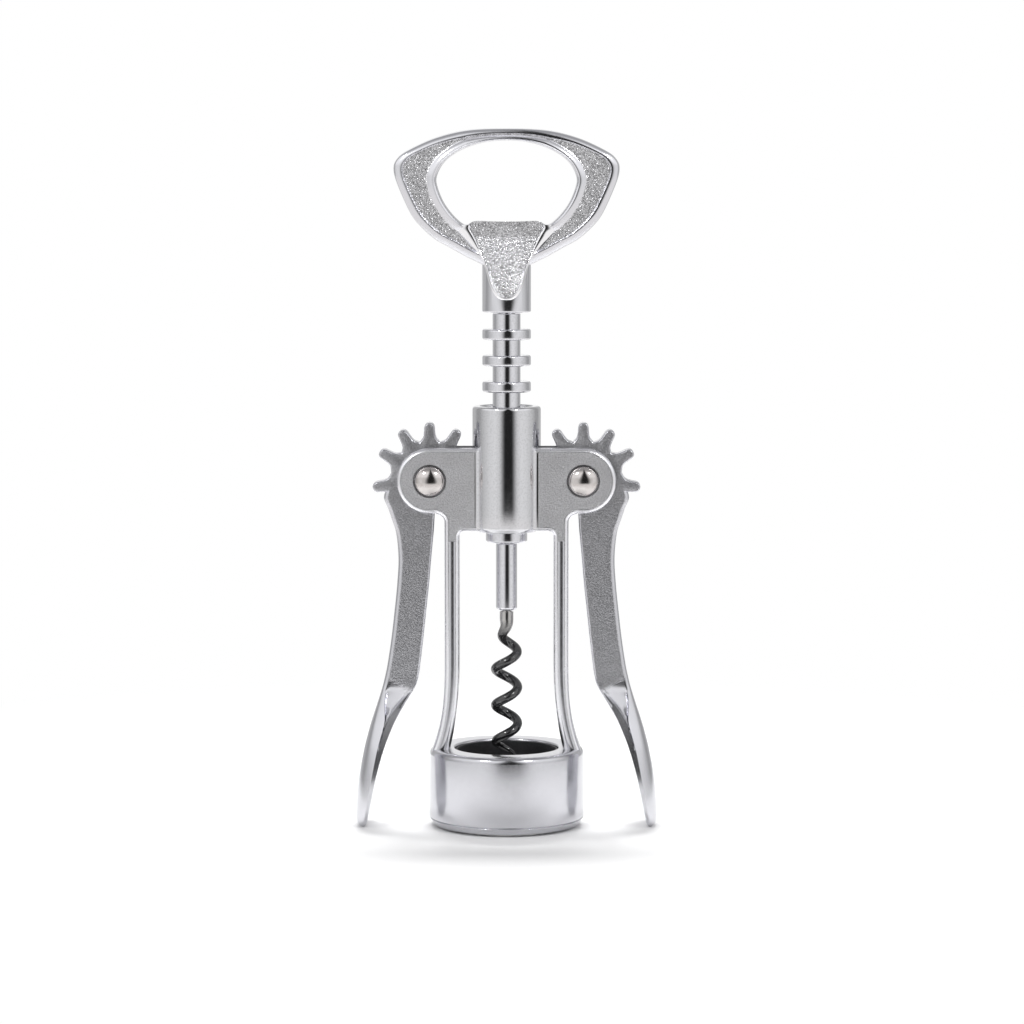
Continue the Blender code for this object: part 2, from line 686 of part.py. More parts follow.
def build_shank(material):
    """Turn the rod that joins handle and worm, and the flange that holds the rack on it."""
    rod_top = socket_top - SEAT_CLEARANCE
    plug_socket = plug_radius + RUNNING_CLEARANCE
    plug_socket_top = shank_foot + TAIL_PLUG_LENGTH + SEAT_CLEARANCE
    shank = [
        (0.0, plug_socket_top), (plug_socket, plug_socket_top), (plug_socket, shank_foot),
        (plug_socket + SHANK_END_WALL, shank_foot), (shank_radius, shank_foot + SHANK_CHAMFER_RISE),
        (shank_radius, shank_top), (ROD_RADIUS, shank_top), (ROD_RADIUS, rod_top), (0.0, rod_top),
    ]
    solid("worm_shank", *turned(shank, SMALL_SEGMENTS), material)
    hole = ROD_RADIUS + SEAT_CLEARANCE
    flange = [
        (hole, flange_foot), (FLANGE_RADIUS - FLANGE_CHAMFER, flange_foot),
        (FLANGE_RADIUS, flange_foot + FLANGE_CHAMFER), (FLANGE_RADIUS, flange_top), (hole, flange_top),
    ]
    solid("shank_flange", *turned(flange, SMALL_SEGMENTS), material)


def worm_path():
    """List the worm's centre points from its plug down to its tip, with the wire's radius."""
    rows = [
        (0.0, shank_foot + TAIL_PLUG_LENGTH, plug_radius),
        (0.0, worm_tail_top + SEAT_CLEARANCE / 2, plug_radius),
        (0.0, worm_tail_top, TAIL_RADIUS),
        (0.0, coil_top, TAIL_RADIUS),
    ]
    steps = round(WORM_LENGTH / WORM_PITCH * WORM_STEPS_PER_TURN)
    for step in range(1, steps + 1):
        drop = WORM_LENGTH * step / steps
        spread = WORM_COIL_RADIUS * eased(drop / WORM_LEAD_IN)
        wire = blend(TAIL_RADIUS, WORM_WIRE_RADIUS, min(drop / TAIL_TAPER, 1.0))
        point = min((WORM_LENGTH - drop) / WORM_POINT_LENGTH, 1.0)
        rows.append((spread, coil_top - drop, wire * blend(WORM_POINT_SHARE, 1.0, math.sqrt(point))))
    path = []
    right_bend = coil_top - WORM_RIGHT_BEND_DROP
    for spread, height, wire in rows:
        angle = 2 * math.pi * (height - right_bend) / WORM_PITCH
        path.append(((spread * math.cos(angle), spread * math.sin(angle), height), wire))
    return path


def build_worm(material):
    """Skin the worm's wire along its helix."""
    path = worm_path()
    sections = []
    for index, (centre, wire) in enumerate(path):
        before = path[max(index - 1, 0)][0]
        after = path[min(index + 1, len(path) - 1)][0]
        run = [b - a for a, b in zip(before, after)]
        size = math.sqrt(sum(value * value for value in run))
        tangent = [value / size for value in run]
        side = (1.0 - tangent[0] ** 2, -tangent[0] * tangent[1], -tangent[0] * tangent[2])
        size = math.sqrt(sum(value * value for value in side))
        side = [value / size for value in side]
        up = (
            tangent[1] * side[2] - tangent[2] * side[1],
            tangent[2] * side[0] - tangent[0] * side[2],
            tangent[0] * side[1] - tangent[1] * side[0],
        )
        section = []
        for step in range(WORM_SIDES):
            angle = 2 * math.pi * step / WORM_SIDES
            section.append(tuple(
                middle + wire * (math.cos(angle) * a + math.sin(angle) * b)
                for middle, a, b in zip(centre, side, up)
            ))
        sections.append(section)
    solid("worm", *loft(sections), material)


def half_to_loop(shares, width, rise, drop, level):
    """Mirror a half outline of shares into a closed clockwise loop."""
    half = [(x * width, level + z * (rise if z > 0.0 else drop)) for x, z in shares]
    return half + [(-across, height) for across, height in reversed(half[1:-1])]


def reach_at(loop, centre, angle):
    """Find how far a ray from the centre goes to a star-shaped loop."""
    direction = (math.sin(angle), math.cos(angle))
    best = 0.0
    for (x0, z0), (x1, z1) in zip(loop, loop[1:] + loop[:1]):
        ax, az = x0 - centre[0], z0 - centre[1]
        dx, dz = x1 - x0, z1 - z0
        cross = direction[0] * dz - direction[1] * dx
        if cross == 0.0:
            continue
        along = (ax * dz - az * dx) / cross
        part = (ax * direction[1] - az * direction[0]) / cross
        if -RAY_TOLERANCE <= part <= 1.0 + RAY_TOLERANCE and along > best:
            best = along
    return best


def through(loop, steps):
    """Run a smooth closed curve through the points of a loop."""
    curve = []
    count = len(loop)
    for index in range(count):
        corners = [loop[index - 1], loop[index], loop[(index + 1) % count], loop[(index + 2) % count]]
        for step in range(steps):
            part = step / steps
            weights = (
                -part + 2 * part ** 2 - part ** 3, 2 - 5 * part ** 2 + 3 * part ** 3,
                part + 4 * part ** 2 - 3 * part ** 3, part ** 3 - part ** 2,
            )
            curve.append(tuple(
                sum(weight * corner[axis] for weight, corner in zip(weights, corners)) / 2
                for axis in (0, 1)
            ))
    return curve


def cut_corners(loop):
    """Round a closed loop by cutting its corners once."""
    cut = []
    for (x0, z0), (x1, z1) in zip(loop, loop[1:] + loop[:1]):
        cut.append((blend(x0, x1, CORNER_CUT_SHARE), blend(z0, z1, CORNER_CUT_SHARE)))
        cut.append((blend(x1, x0, CORNER_CUT_SHARE), blend(z1, z0, CORNER_CUT_SHARE)))
    return cut


def ridge(rim, width, outward):
    """List half round points (reach, depth share) of a ridge that starts at the rim."""
    points = []
    for step in range(RIDGE_STEPS + 1):
        turn = math.radians(90.0) * step / RIDGE_STEPS
        points.append((rim - outward * width / 2 * (1.0 - math.cos(turn)), math.sin(turn)))
    return points


def head_section(far, near):
    """Draw the head's section between its rim and its opening: ridge, sunk panel, ridge."""
    room = (far - near) * LAND_WIDTH_SHARE
    outer_ridge = min(OUTER_RIDGE, room)
    inner_ridge = min(INNER_RIDGE, room)
    panel = 1.0 - PANEL_DEPTH / HANDLE_HALF_DEPTH
    front = ridge(far, outer_ridge, 1)
    front += [(far - outer_ridge, panel), (near + inner_ridge, panel)]
    front += reversed(ridge(near, inner_ridge, -1))
    return front + [(reach, -depth) for reach, depth in reversed(front[1:-1])]


def head_shape():
    """Skin the handle's head as a ring between its outline and its opening."""
    outer = through(half_to_loop(
        HANDLE_OUTLINE_SHARES, HANDLE_HALF_WIDTH, HANDLE_HEIGHT, HANDLE_HEIGHT, shoulder), OUTLINE_STEPS)
    hole = cut_corners(half_to_loop(
        HOLE_OUTLINE_SHARES, hole_half_width, HOLE_RISE, HOLE_DROP, hole_centre))
    centre = (0.0, hole_centre)
    angles = [2 * math.pi * step / HANDLE_STEPS for step in range(HANDLE_STEPS)]
    for across, height in hole:
        if height < hole_centre - HOLE_DROP * TOOTHED_EDGE_SHARE:
            angles.append(math.atan2(across, height - hole_centre) % (2 * math.pi))
    kept = []
    for angle in sorted(angles):
        if not kept or angle - kept[-1] >= LEAST_HANDLE_STEP:
            kept.append(angle)
    columns = []
    for angle in kept:
        section = head_section(reach_at(outer, centre, angle), reach_at(hole, centre, angle))
        columns.append([
            (reach * math.sin(angle), -depth * HANDLE_HALF_DEPTH, hole_centre + reach * math.cos(angle))
            for reach, depth in section
        ])
    count = len(columns[0])
    points = [point for column in columns for point in column]
    faces = []
    for index in range(len(columns)):
        following = (index + 1) % len(columns)
        for step in range(count):
            after = (step + 1) % count
            faces.append([
                index * count + step, index * count + after,
                following * count + after, following * count + step,
            ])
    return points, faces


def build_neck():
    """Make the handle's round neck and collar, sloped to a tongue in front and at the back."""
    neck_top = shoulder + NECK_RISE
    neck = [
        (0.0, collar_foot), (collar_radius - COLLAR_ROUND, collar_foot),
        (collar_radius, collar_foot + COLLAR_ROUND), (collar_radius, neck_top), (0.0, neck_top),
    ]
    item = solid("join_neck", *turned(neck, MIDDLE_SEGMENTS))
    tongue_tip = collar_foot + TONGUE_TIP_RISE
    run_top = neck_top + OVERRUN
    slope_in = (run_top - tongue_tip) * math.tan(TONGUE_SLOPE)
    wide = collar_radius + OVERRUN
    for direction, label in ((-1, "front"), (1, "back")):
        near = direction * collar_radius
        far = direction * (collar_radius - slope_in)
        away = direction * wide
        side = [(near, tongue_tip), (far, run_top), (away, run_top), (away, tongue_tip)]
        sections = [[(across, depth, height) for depth, height in side] for across in (-wide, wide)]
        combine(item, solid(f"cut_neck_{label}", *loft(sections)), "DIFFERENCE")
    return item


def build_handle(material):
    """Cast the opener handle: ridged head, neck with its tongues, and a socket for the rod."""
    handle = solid("handle", *head_shape(), material)
    combine(handle, build_neck(), "UNION")
    tooth_edge = hole_centre - HOLE_DROP
    tongue_neck = shoulder + TONGUE_NECK_RISE
    tongue = [
        (-TONGUE_TOP_HALF_WIDTH, tooth_edge + OVERRUN), (TONGUE_TOP_HALF_WIDTH, tooth_edge + OVERRUN),
        (TONGUE_TOP_HALF_WIDTH, tooth_edge), (TONGUE_NECK_HALF_WIDTH, tongue_neck),
        (-TONGUE_NECK_HALF_WIDTH, tongue_neck), (-TONGUE_TOP_HALF_WIDTH, tooth_edge),
    ]
    floor = HANDLE_HALF_DEPTH - TONGUE_DEPTH
    for direction, label in ((-1, "front"), (1, "back")):
        cutter = solid(f"cut_tongue_{label}", *prism(
            tongue, direction * floor, direction * (HANDLE_HALF_DEPTH + OVERRUN)))
        combine(handle, cutter, "DIFFERENCE")
    socket = ROD_RADIUS + SEAT_CLEARANCE
    hole = [
        (0.0, collar_foot - OVERRUN), (socket, collar_foot - OVERRUN),
        (socket, socket_top), (0.0, socket_top),
    ]
    combine(handle, solid("cut_socket", *turned(hole, SMALL_SEGMENTS)), "DIFFERENCE")


def main():
    """Build every piece of the corkscrew."""
    clear_scene()
    cast_chrome = finish("cast_chrome", (0.60, 0.60, 0.62), 0.34, 1.0)
    polished_chrome = finish("polished_chrome", (0.74, 0.74, 0.76), 0.16, 1.0)
    rivet_steel = finish("rivet_steel", (0.66, 0.65, 0.62), 0.08, 1.0)
    black_coating = finish("black_coating", (0.02, 0.02, 0.022), 0.22, 0.0)
    dark_plastic = finish("dark_plastic", (0.05, 0.05, 0.055), 0.5, 0.0)
    build_frame(cast_chrome)
    build_liner(dark_plastic)
    build_rack(polished_chrome)
    build_shank(polished_chrome)
    build_worm(black_coating)
    build_handle(cast_chrome)
    for side, label in ((-1, "left"), (1, "right")):
        build_rivet(label, side, rivet_steel)
        build_lever(label, side, cast_chrome)


main()
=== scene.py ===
"""Wing corkscrew, dressed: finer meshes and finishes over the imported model.

Metres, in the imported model's frame: +Z up along the worm, the lever tips at z = 0, and the
photographed side towards -Y.
"""

import logging
import math
from dataclasses import dataclass
from enum import Enum
from typing import Callable, Optional, Sequence, Union

import bpy
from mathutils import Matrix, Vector


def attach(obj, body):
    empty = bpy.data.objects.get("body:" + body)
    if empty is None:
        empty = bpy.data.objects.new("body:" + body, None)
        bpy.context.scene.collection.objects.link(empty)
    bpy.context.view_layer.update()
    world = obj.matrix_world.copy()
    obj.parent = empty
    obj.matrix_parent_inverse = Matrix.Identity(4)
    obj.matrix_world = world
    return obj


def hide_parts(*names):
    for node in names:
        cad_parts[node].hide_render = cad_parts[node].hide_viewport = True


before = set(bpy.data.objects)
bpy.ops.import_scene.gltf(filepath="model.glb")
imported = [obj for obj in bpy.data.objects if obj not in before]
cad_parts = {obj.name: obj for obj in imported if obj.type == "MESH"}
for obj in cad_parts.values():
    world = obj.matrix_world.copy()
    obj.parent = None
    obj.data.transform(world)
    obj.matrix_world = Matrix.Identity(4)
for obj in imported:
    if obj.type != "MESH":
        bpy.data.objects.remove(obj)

log = logging.getLogger("corkscrew")

Flat = tuple[float, float]
Place = tuple[float, float, float]
Colour = tuple[float, float, float]
Piece = bpy.types.Object
Material = bpy.types.Material

# The axles stand this far from the middle, at this height.
PIVOT_SPREAD = 0.0192
PIVOT_HEIGHT = 0.0876
# Clearance between seated pieces, slack of a test, and how far a tool reaches past what it cuts.
PLAY = 0.0003
HAIR = 0.00001
OVERSHOOT = 0.002
# Share of a side by which a cutter's corners stay off those of its blank.
OFF_PHASE = 0.37
# Sides of turned pieces and of bores.
SIDES = 96
BORE_SIDES = 64
# Edges over this angle stay sharp, unless a piece has its own.
SHARP_ANGLE = math.radians(32.0)
# Steps of a rounding from 0 to 90 degrees.
QUARTER = [math.radians(15.0 * step) for step in range(7)]


class Axis(Enum):
    """The line that a turned piece is turned about."""

    UP = "z"
    DEPTH = "y"


class Side(Enum):
    """A side of the corkscrew, as the sign of its x."""

    LEFT = -1
    RIGHT = 1

    @property
    def label(self) -> str:
        """Give the side's name as pieces, nodes and lamps carry it."""
        return self.name.lower()

    @property
    def axle(self) -> Place:
        """Give the middle of the side's axle."""
        return self.value * PIVOT_SPREAD, 0.0, PIVOT_HEIGHT


class Cut(Enum):
    """What a tool shape does to the shape it is used on."""

    AWAY = "DIFFERENCE"
    JOIN = "UNION"


def blend(first: float, second: float, share: float) -> float:
    """Mix two numbers by a share."""
    return first + (second - first) * share


def eased(share: float) -> float:
    """Ease a share in and out between 0 and 1."""
    part = min(max(share, 0.0), 1.0)
    return part * part * (3.0 - 2.0 * part)


def ramp(value: float, start: float, over: float) -> float:
    """Ease from 0 to 1 while a value goes over a stretch from its start."""
    return eased((value - start) / over)


def linked(name: str, data: bpy.types.ID) -> Piece:
    """Make an object of some data and link it to the scene.

    Args:
        name: the object's name.
        data: the mesh, camera or lamp.

    Returns:
        The object.
    """
    piece = bpy.data.objects.new(name, data)
    bpy.context.scene.collection.objects.link(piece)
    return piece


def arc(centre: Flat, radius: float, start: float, end: float, steps: int) -> list[Flat]:
    """List points on an arc.

    Args:
        centre: middle of the arc.
        radius: its radius.
        start: first angle in degrees, clockwise from straight up.
        end: last angle in degrees.
        steps: number of chords.

    Returns:
        The points from start to end.
    """
    turns = [math.radians(blend(start, end, step / steps)) for step in range(steps + 1)]
    return [(centre[0] + radius * math.sin(turn), centre[1] + radius * math.cos(turn)) for turn in turns]


def rounded(profile: Sequence[tuple[float, float, float]], steps: int = 4) -> list[Flat]:
    """Round the corners of a closed profile.

    Args:
        profile: corners as (across, height, radius of the rounding).
        steps: chords in each rounding.

    Returns:
        The profile with each corner replaced by a curve that starts and ends at its radius.
    """
    result: list[Flat] = []
    count = len(profile)
    for index, (x, z, radius) in enumerate(profile):
        if radius == 0.0:
            result.append((x, z))
            continue
        ends = []
        for other in (profile[index - 1], profile[(index + 1) % count]):
            run = Vector((other[0] - x, other[1] - z))
            reach = min(radius, run.length / 2)
            ends.append(Vector((x, z)) + run.normalized() * reach)
        for step in range(steps + 1):
            part = step / steps
            middle = ends[0] * (1 - part) ** 2 + Vector((x, z)) * 2 * part * (1 - part) + ends[1] * part ** 2
            result.append((middle.x, middle.y))
    return result


def spline(points: Sequence[Sequence[float]], steps: int, closed: bool = False) -> list[tuple[float, ...]]:
    """Run a smooth curve through points.

    Args:
        points: the points to pass, in two or three dimensions.
        steps: new points for each span.
        closed: whether the last point joins the first.

    Returns:
        Points on the curve, the given ones among them.
    """
    count = len(points)
    spans = count if closed else count - 1
    curve = []
    for index in range(spans):
        if closed:
            corners = [points[(index + offset) % count] for offset in (-1, 0, 1, 2)]
        else:
            corners = [points[min(max(index + offset, 0), count - 1)] for offset in (-1, 0, 1, 2)]
        for step in range(steps):
            part = step / steps
            weights = (
                -part + 2 * part ** 2 - part ** 3, 2 - 5 * part ** 2 + 3 * part ** 3,
                part + 4 * part ** 2 - 3 * part ** 3, part ** 3 - part ** 2,
            )
            curve.append(tuple(
                sum(weight * corner[axis] for weight, corner in zip(weights, corners)) / 2
                for axis in range(len(points[0]))
            ))
    if not closed:
        curve.append(tuple(points[-1]))
    return curve


def inset(outline: Sequence[Flat], distance: float) -> list[Flat]:
    """Move a clockwise outline inwards along its corners' bisectors.

    Args:
        outline: the outline.
        distance: how far its sides move.

    Returns:
        The moved outline.
    """
    result = []
    count = len(outline)
    for index, (x, z) in enumerate(outline):
        before = outline[index - 1]
        after = outline[(index + 1) % count]
        first = Vector((x - before[0], z - before[1])).normalized()
        second = Vector((after[0] - x, after[1] - z)).normalized()
        normal = Vector((first.y + second.y, -first.x - second.x))
        reach = distance * 2.0 / max(normal.length_squared, 1.0)
        result.append((x + normal.x * reach, z + normal.y * reach))
    return result


@dataclass
class Shape:
    """Points and faces before they become an object.

    Attributes:
        points: corners in metres.
        faces: each face's corner numbers.
    """

    points: list[Place]
    faces: list[list[int]]

    @classmethod
    def turned(cls, profile: Sequence[Flat], segments: int, axis: Axis = Axis.UP, phase: float = 0.0) -> "Shape":
        """Turn a (radius, height) profile about an axis.

        Args:
            profile: the section; it is closed unless it starts at radius zero.
            segments: sides of the turned shape.
            axis: the line that it is turned about.
            phase: share of a side by which the corners are turned on.

        Returns:
            A closed shape.
        """
        points: list[Place] = []
        rows = []
        for radius, height in profile:
            row = []
            for step in range(1 if radius == 0.0 else segments):
                angle = 2 * math.pi * (step + phase) / segments
                across, along = radius * math.cos(angle), radius * math.sin(angle)
                row.append(len(points))
                points.append((across, along, height) if axis is Axis.UP else (across, height, along))
            rows.append(row)
        closed = profile[0][0] != 0.0
        faces = []
        for lower, upper in zip(rows, rows[1:] + (rows[:1] if closed else [])):
            for step in range(segments):
                following = (step + 1) % segments
                loop = [
                    lower[step % len(lower)], lower[following % len(lower)],
                    upper[following % len(upper)], upper[step % len(upper)],
                ]
                face = list(dict.fromkeys(loop))
                if len(face) > 2:
                    faces.append(face)
        return cls(points, faces)

    @classmethod
    def lofted(cls, sections: Sequence[Sequence[Place]], ring: bool = False) -> "Shape":
        """Skin closed loops that have the same number of points.

        Args:
            sections: the loops in order.
            ring: whether the last loop joins the first; otherwise both ends are closed flat.

        Returns:
            A closed shape.
        """
        count = len(sections[0])
        points = [tuple(point) for section in sections for point in section]
        faces: list[list[int]] = []
        if not ring:
            faces += [list(range(count)), [len(points) - 1 - step for step in range(count)]]
        for row in range(len(sections) if ring else len(sections) - 1):
            base, above = row * count, (row + 1) % len(sections) * count
            for step in range(count):
                following = (step + 1) % count
                faces.append([base + following, base + step, above + step, above + following])
        return cls(points, faces)

    @classmethod
    def plate(cls, outline: Sequence[Flat], edge: Sequence[Flat], half_depth: float) -> "Shape":
        """Make a plate along Y from a clockwise (x, z) outline.

        Args:
            outline: the plate's outline.
            edge: its edge from the side wall to the face, as (inset, sink below the face).
            half_depth: half of the plate's thickness.

        Returns:
            A closed shape with the same edge in front and at the back.
        """
        loops = [(inset(outline, distance), sink) for distance, sink in edge]
        layers = [[(x, sink - half_depth, z) for x, z in loop] for loop, sink in reversed(loops)]
        layers += [[(x, half_depth - sink, z) for x, z in loop] for loop, sink in loops]
        return cls.lofted(layers)
    @classmethod
    def tube(
        cls, radii: Flat, ends: Flat, segments: int, axis: Axis = Axis.UP, phase: float = 0.0
    ) -> "Shape":
        """Turn a plain tube; an inner radius of zero makes it solid.

        Args:
            radii: its inner and outer radius.
            ends: its lowest and highest place along the axis.
            segments: sides of the tube.
            axis: the line that it is turned about.
            phase: share of a side by which the corners are turned on.

        Returns:
            A closed shape.
        """
        (inner, outer), (low, high) = radii, ends
        profile = [(inner, low), (outer, low), (outer, high), (inner, high)]
        return cls.turned(profile, segments, axis, phase)

    @classmethod
    def mirrored(
        cls, sections: Sequence[Sequence[Place]], across: Sequence[int] = (-1, 1), turned: int = 1
    ) -> "Shape":
        """Repeat a skin in front and at the back, and on both sides of the middle.

        Args:
            sections: the loops of the copy at positive x and y.
            across: the signs of x that get a copy.
            turned: sign of x times y in the copies whose loops run backwards.

        Returns:
            One shape with all the copies.
        """
        whole = cls([], [])
        for x_sign in across:
            for y_sign in (-1, 1):
                loops = [[(x_sign * x, y_sign * y, z) for x, y, z in section] for section in sections]
                if x_sign * y_sign == turned:
                    loops = [list(reversed(loop)) for loop in loops]
                copy = cls.lofted(loops)
                start = len(whole.points)
                whole.faces += [[index + start for index in face] for face in copy.faces]
                whole.points += copy.points
        return whole

    def placed(self, place: Place, flipped: bool = False) -> "Shape":
        """Move the shape.

        Args:
            place: how far it moves.
            flipped: whether it first turns half round its own Z axis.

        Returns:
            The moved shape.
        """
        sign = -1.0 if flipped else 1.0
        moved = [(sign * x + place[0], sign * y + place[1], z + place[2]) for x, y, z in self.points]
        return Shape(moved, self.faces)
    def made(self, name: str) -> Piece:
        """Make the shape an object whose faces point out.

        Args:
            name: the object's name.

        Returns:
            The object, linked to the scene.
        """
        mesh = bpy.data.meshes.new(name)
        mesh.from_pydata(self.points, [], self.faces)
        mesh.validate()
        volume = 0.0
        for face in mesh.polygons:
            corners = [mesh.vertices[index].co for index in face.vertices]
            for second, third in zip(corners[1:-1], corners[2:]):
                volume += corners[0].dot(second.cross(third))
        if volume < 0.0:
            mesh.flip_normals()
        return linked(name, mesh)


def settle(piece: Piece, tools: Sequence[Piece] = ()) -> Piece:
    """Bake a piece's modifiers into a plain mesh.

    Args:
        piece: the object with modifiers.
        tools: objects that only the modifiers need; they are removed.

    Returns:
        The same object with a plain mesh.
    """
    graph = bpy.context.evaluated_depsgraph_get()
    mesh = bpy.data.meshes.new_from_object(piece.evaluated_get(graph))
    piece.modifiers.clear()
    piece.data = mesh
    mesh.name = piece.name
    for tool in tools:
        bpy.data.objects.remove(tool, do_unlink=True)
    return piece


def worked(
    name: str, blank: Shape, steps: Sequence[tuple[Cut, Union[Shape, Piece]]]
) -> Piece:
    """Cut and join shapes on a blank.

    Args:
        name: the piece's name.
        blank: the shape that is worked on.
        steps: what is done to it, in order, each with a shape or a finished object.

    Returns:
        The finished plain object.
    """
    piece = blank.made(name)
    tools = []
    for number, (cut, form) in enumerate(steps):
        tool = form.made(f"{name}_tool_{number}") if isinstance(form, Shape) else form
        modifier = piece.modifiers.new(tool.name, "BOOLEAN")
        modifier.operation = cut.value
        modifier.solver = "EXACT"
        modifier.object = tool
        tools.append(tool)
    bpy.context.view_layer.update()
    return settle(piece, tools)


def smoothed(piece: Piece, angle: float = SHARP_ANGLE) -> Piece:
    """Shade a piece smooth, apart from edges over an angle.

    Args:
        piece: the object.
        angle: the least angle of an edge that stays sharp.

    Returns:
        The same object.
    """
    piece.data.shade_smooth()
    piece.data.set_sharp_from_angle(angle=angle)
    return piece


def marked(
    piece: Piece, name: str, rule: Callable[[Vector, Vector], float], by_face: bool = False
) -> Piece:
    """Write a number on each of a piece's points or faces.

    Args:
        piece: the object.
        name: the attribute's name.
        rule: gives the number for a place and its normal.
        by_face: whether the numbers go on the faces.

    Returns:
        The same object.
    """
    mesh = piece.data
    if by_face:
        values = [rule(face.center, face.normal) for face in mesh.polygons]
    else:
        values = [rule(point.co, point.normal) for point in mesh.vertices]
    attribute = mesh.attributes.new(name, "FLOAT", "FACE" if by_face else "POINT")
    attribute.data.foreach_set("value", values)
    return piece


class Socket:
    """An output of a node, with arithmetic that adds Math nodes."""

    def __init__(self, graph: "Graph", output: bpy.types.NodeSocket) -> None:
        """Wrap an output of a graph's node."""
        self.graph = graph
        self.output = output

    def math(self, operation: str, *others: "Operand", clamp: bool = False) -> "Socket":
        """Add a Math node with this output first."""
        values = dict(enumerate((self, *others)))
        return self.graph.add("ShaderNodeMath", {"operation": operation, "use_clamp": clamp}, values)

    def __add__(self, other: "Operand") -> "Socket":
        """Add."""
        return self.math("ADD", other)

    def __sub__(self, other: "Operand") -> "Socket":
        """Subtract."""
        return self.math("SUBTRACT", other)

    def __mul__(self, other: "Operand") -> "Socket":
        """Multiply."""
        return self.math("MULTIPLY", other)

    def __truediv__(self, other: "Operand") -> "Socket":
        """Divide."""
        return self.math("DIVIDE", other)

    def __rsub__(self, other: float) -> "Socket":
        """Subtract from a number."""
        return self.graph.add("ShaderNodeMath", {"operation": "SUBTRACT"}, {0: other, 1: self})

    __radd__ = __add__
    __rmul__ = __mul__

    def band(self, low: "Operand", high: "Operand") -> "Socket":
        """Run smoothly from 0 at low to 1 at high."""
        values = {"Value": self, "From Min": low, "From Max": high}
        return self.graph.add("ShaderNodeMapRange", {"interpolation_type": "SMOOTHSTEP"}, values)


Operand = Union[Socket, float]


class Graph:
    """A node tree with one method that adds any node."""

    def __init__(self, tree: bpy.types.NodeTree) -> None:
        """Empty the tree and start from nothing."""
        self.tree = tree
        tree.nodes.clear()

    def add(
        self, kind: str, settings: Optional[dict] = None, values: Optional[dict] = None,
        output: Union[int, str] = 0,
    ) -> Socket:
        """Add a node.

        Args:
            kind: the node's type.
            settings: its settings; "stops" are a ramp's (place, grey or colour) pairs.
            values: numbers, colours or sockets for its inputs, by name or number.
            output: the output that is wanted.

        Returns:
            That output.
        """
        node = self.tree.nodes.new(kind)
        for name, value in (settings or {}).items():
            if name == "stops":
                self.set_stops(node.color_ramp, value)
            else:
                setattr(node, name, value)
        for name, value in (values or {}).items():
            if isinstance(value, Socket):
                self.tree.links.new(value.output, node.inputs[name])
            else:
                node.inputs[name].default_value = value
        return Socket(self, node.outputs[output]) if node.outputs else Socket(self, None)

    @staticmethod
    def set_stops(ramp: bpy.types.ColorRamp, stops: Sequence[tuple[float, Union[float, Colour]]]) -> None:
        """Set a ramp's stops from (place, grey or colour) pairs.

        Args:
            ramp: the ramp.
            stops: the pairs in order.
        """
        while len(ramp.elements) < len(stops):
            ramp.elements.new(1.0)
        for element, (place, shade) in zip(ramp.elements, stops):
            element.position = place
            colour = (shade, shade, shade) if isinstance(shade, float) else shade
            element.color = (*colour, 1.0)

    def mixed(self, share: Operand, first: Union[Socket, Colour], second: Union[Socket, Colour]) -> Socket:
        """Mix two colours by a share.

        Args:
            share: how much of the second.
            first: colour at 0.
            second: colour at 1.

        Returns:
            The mixed colour.
        """
        ready = [shade if isinstance(shade, Socket) else (*shade, 1.0) for shade in (first, second)]
        values = {0: share, 6: ready[0], 7: ready[1]}
        return self.add("ShaderNodeMix", {"data_type": "RGBA"}, values, output=2)

    def noise(self, where: Socket, scale: float, detail: float = 2.0, rough: float = 0.5) -> Socket:
        """Read a noise of a number of waves to the metre."""
        values = {"Vector": where, "Scale": scale, "Detail": detail, "Roughness": rough}
        return self.add("ShaderNodeTexNoise", {}, values)

    def attribute(self, name: str) -> Socket:
        """Read a number that the mesh carries."""
        return self.add("ShaderNodeAttribute", {"attribute_name": name}, output="Fac")

    def speckled(self, share: Socket, colour: Colour, left: float) -> Socket:
        """Darken a colour to what is left of it where a share is 0."""
        return self.mixed(share, tuple(value * left for value in colour), colour)

    def shader(
        self, colour: Socket, rough: Operand, height: Socket, relief: float, strength: float = 1.0,
        **others: Operand,
    ) -> Socket:
        """Add the principled shader over a bump.

        Args:
            colour: its base colour.
            rough: its roughness.
            height: the bump's height as a share.
            relief: the bump's full height in metres.
            strength: the bump's strength.
            others: the shader's other inputs by name.

        Returns:
            The shader.
        """
        bump = self.add("ShaderNodeBump", {}, {"Strength": strength, "Distance": relief, "Height": height})
        values = {"Base Color": colour, "Roughness": rough, "Normal": bump, **others}
        return self.add("ShaderNodeBsdfPrincipled", {}, values)


class Finish:
    """A finish that makes one material."""

    name: str

    def material(self) -> Material:
        """Make the material with its nodes.

        Returns:
            The material.
        """
        material = bpy.data.materials.new(self.name)
        material.use_nodes = True
        graph = Graph(material.node_tree)
        surface = self.surface(graph, graph.add("ShaderNodeTexCoord", output="Object"))
        graph.add("ShaderNodeOutputMaterial", {}, {"Surface": surface})
        return material

    def surface(self, graph: Graph, where: Socket) -> Socket:
        """Build the shader from a place on the piece; each finish has its own."""
        raise NotImplementedError


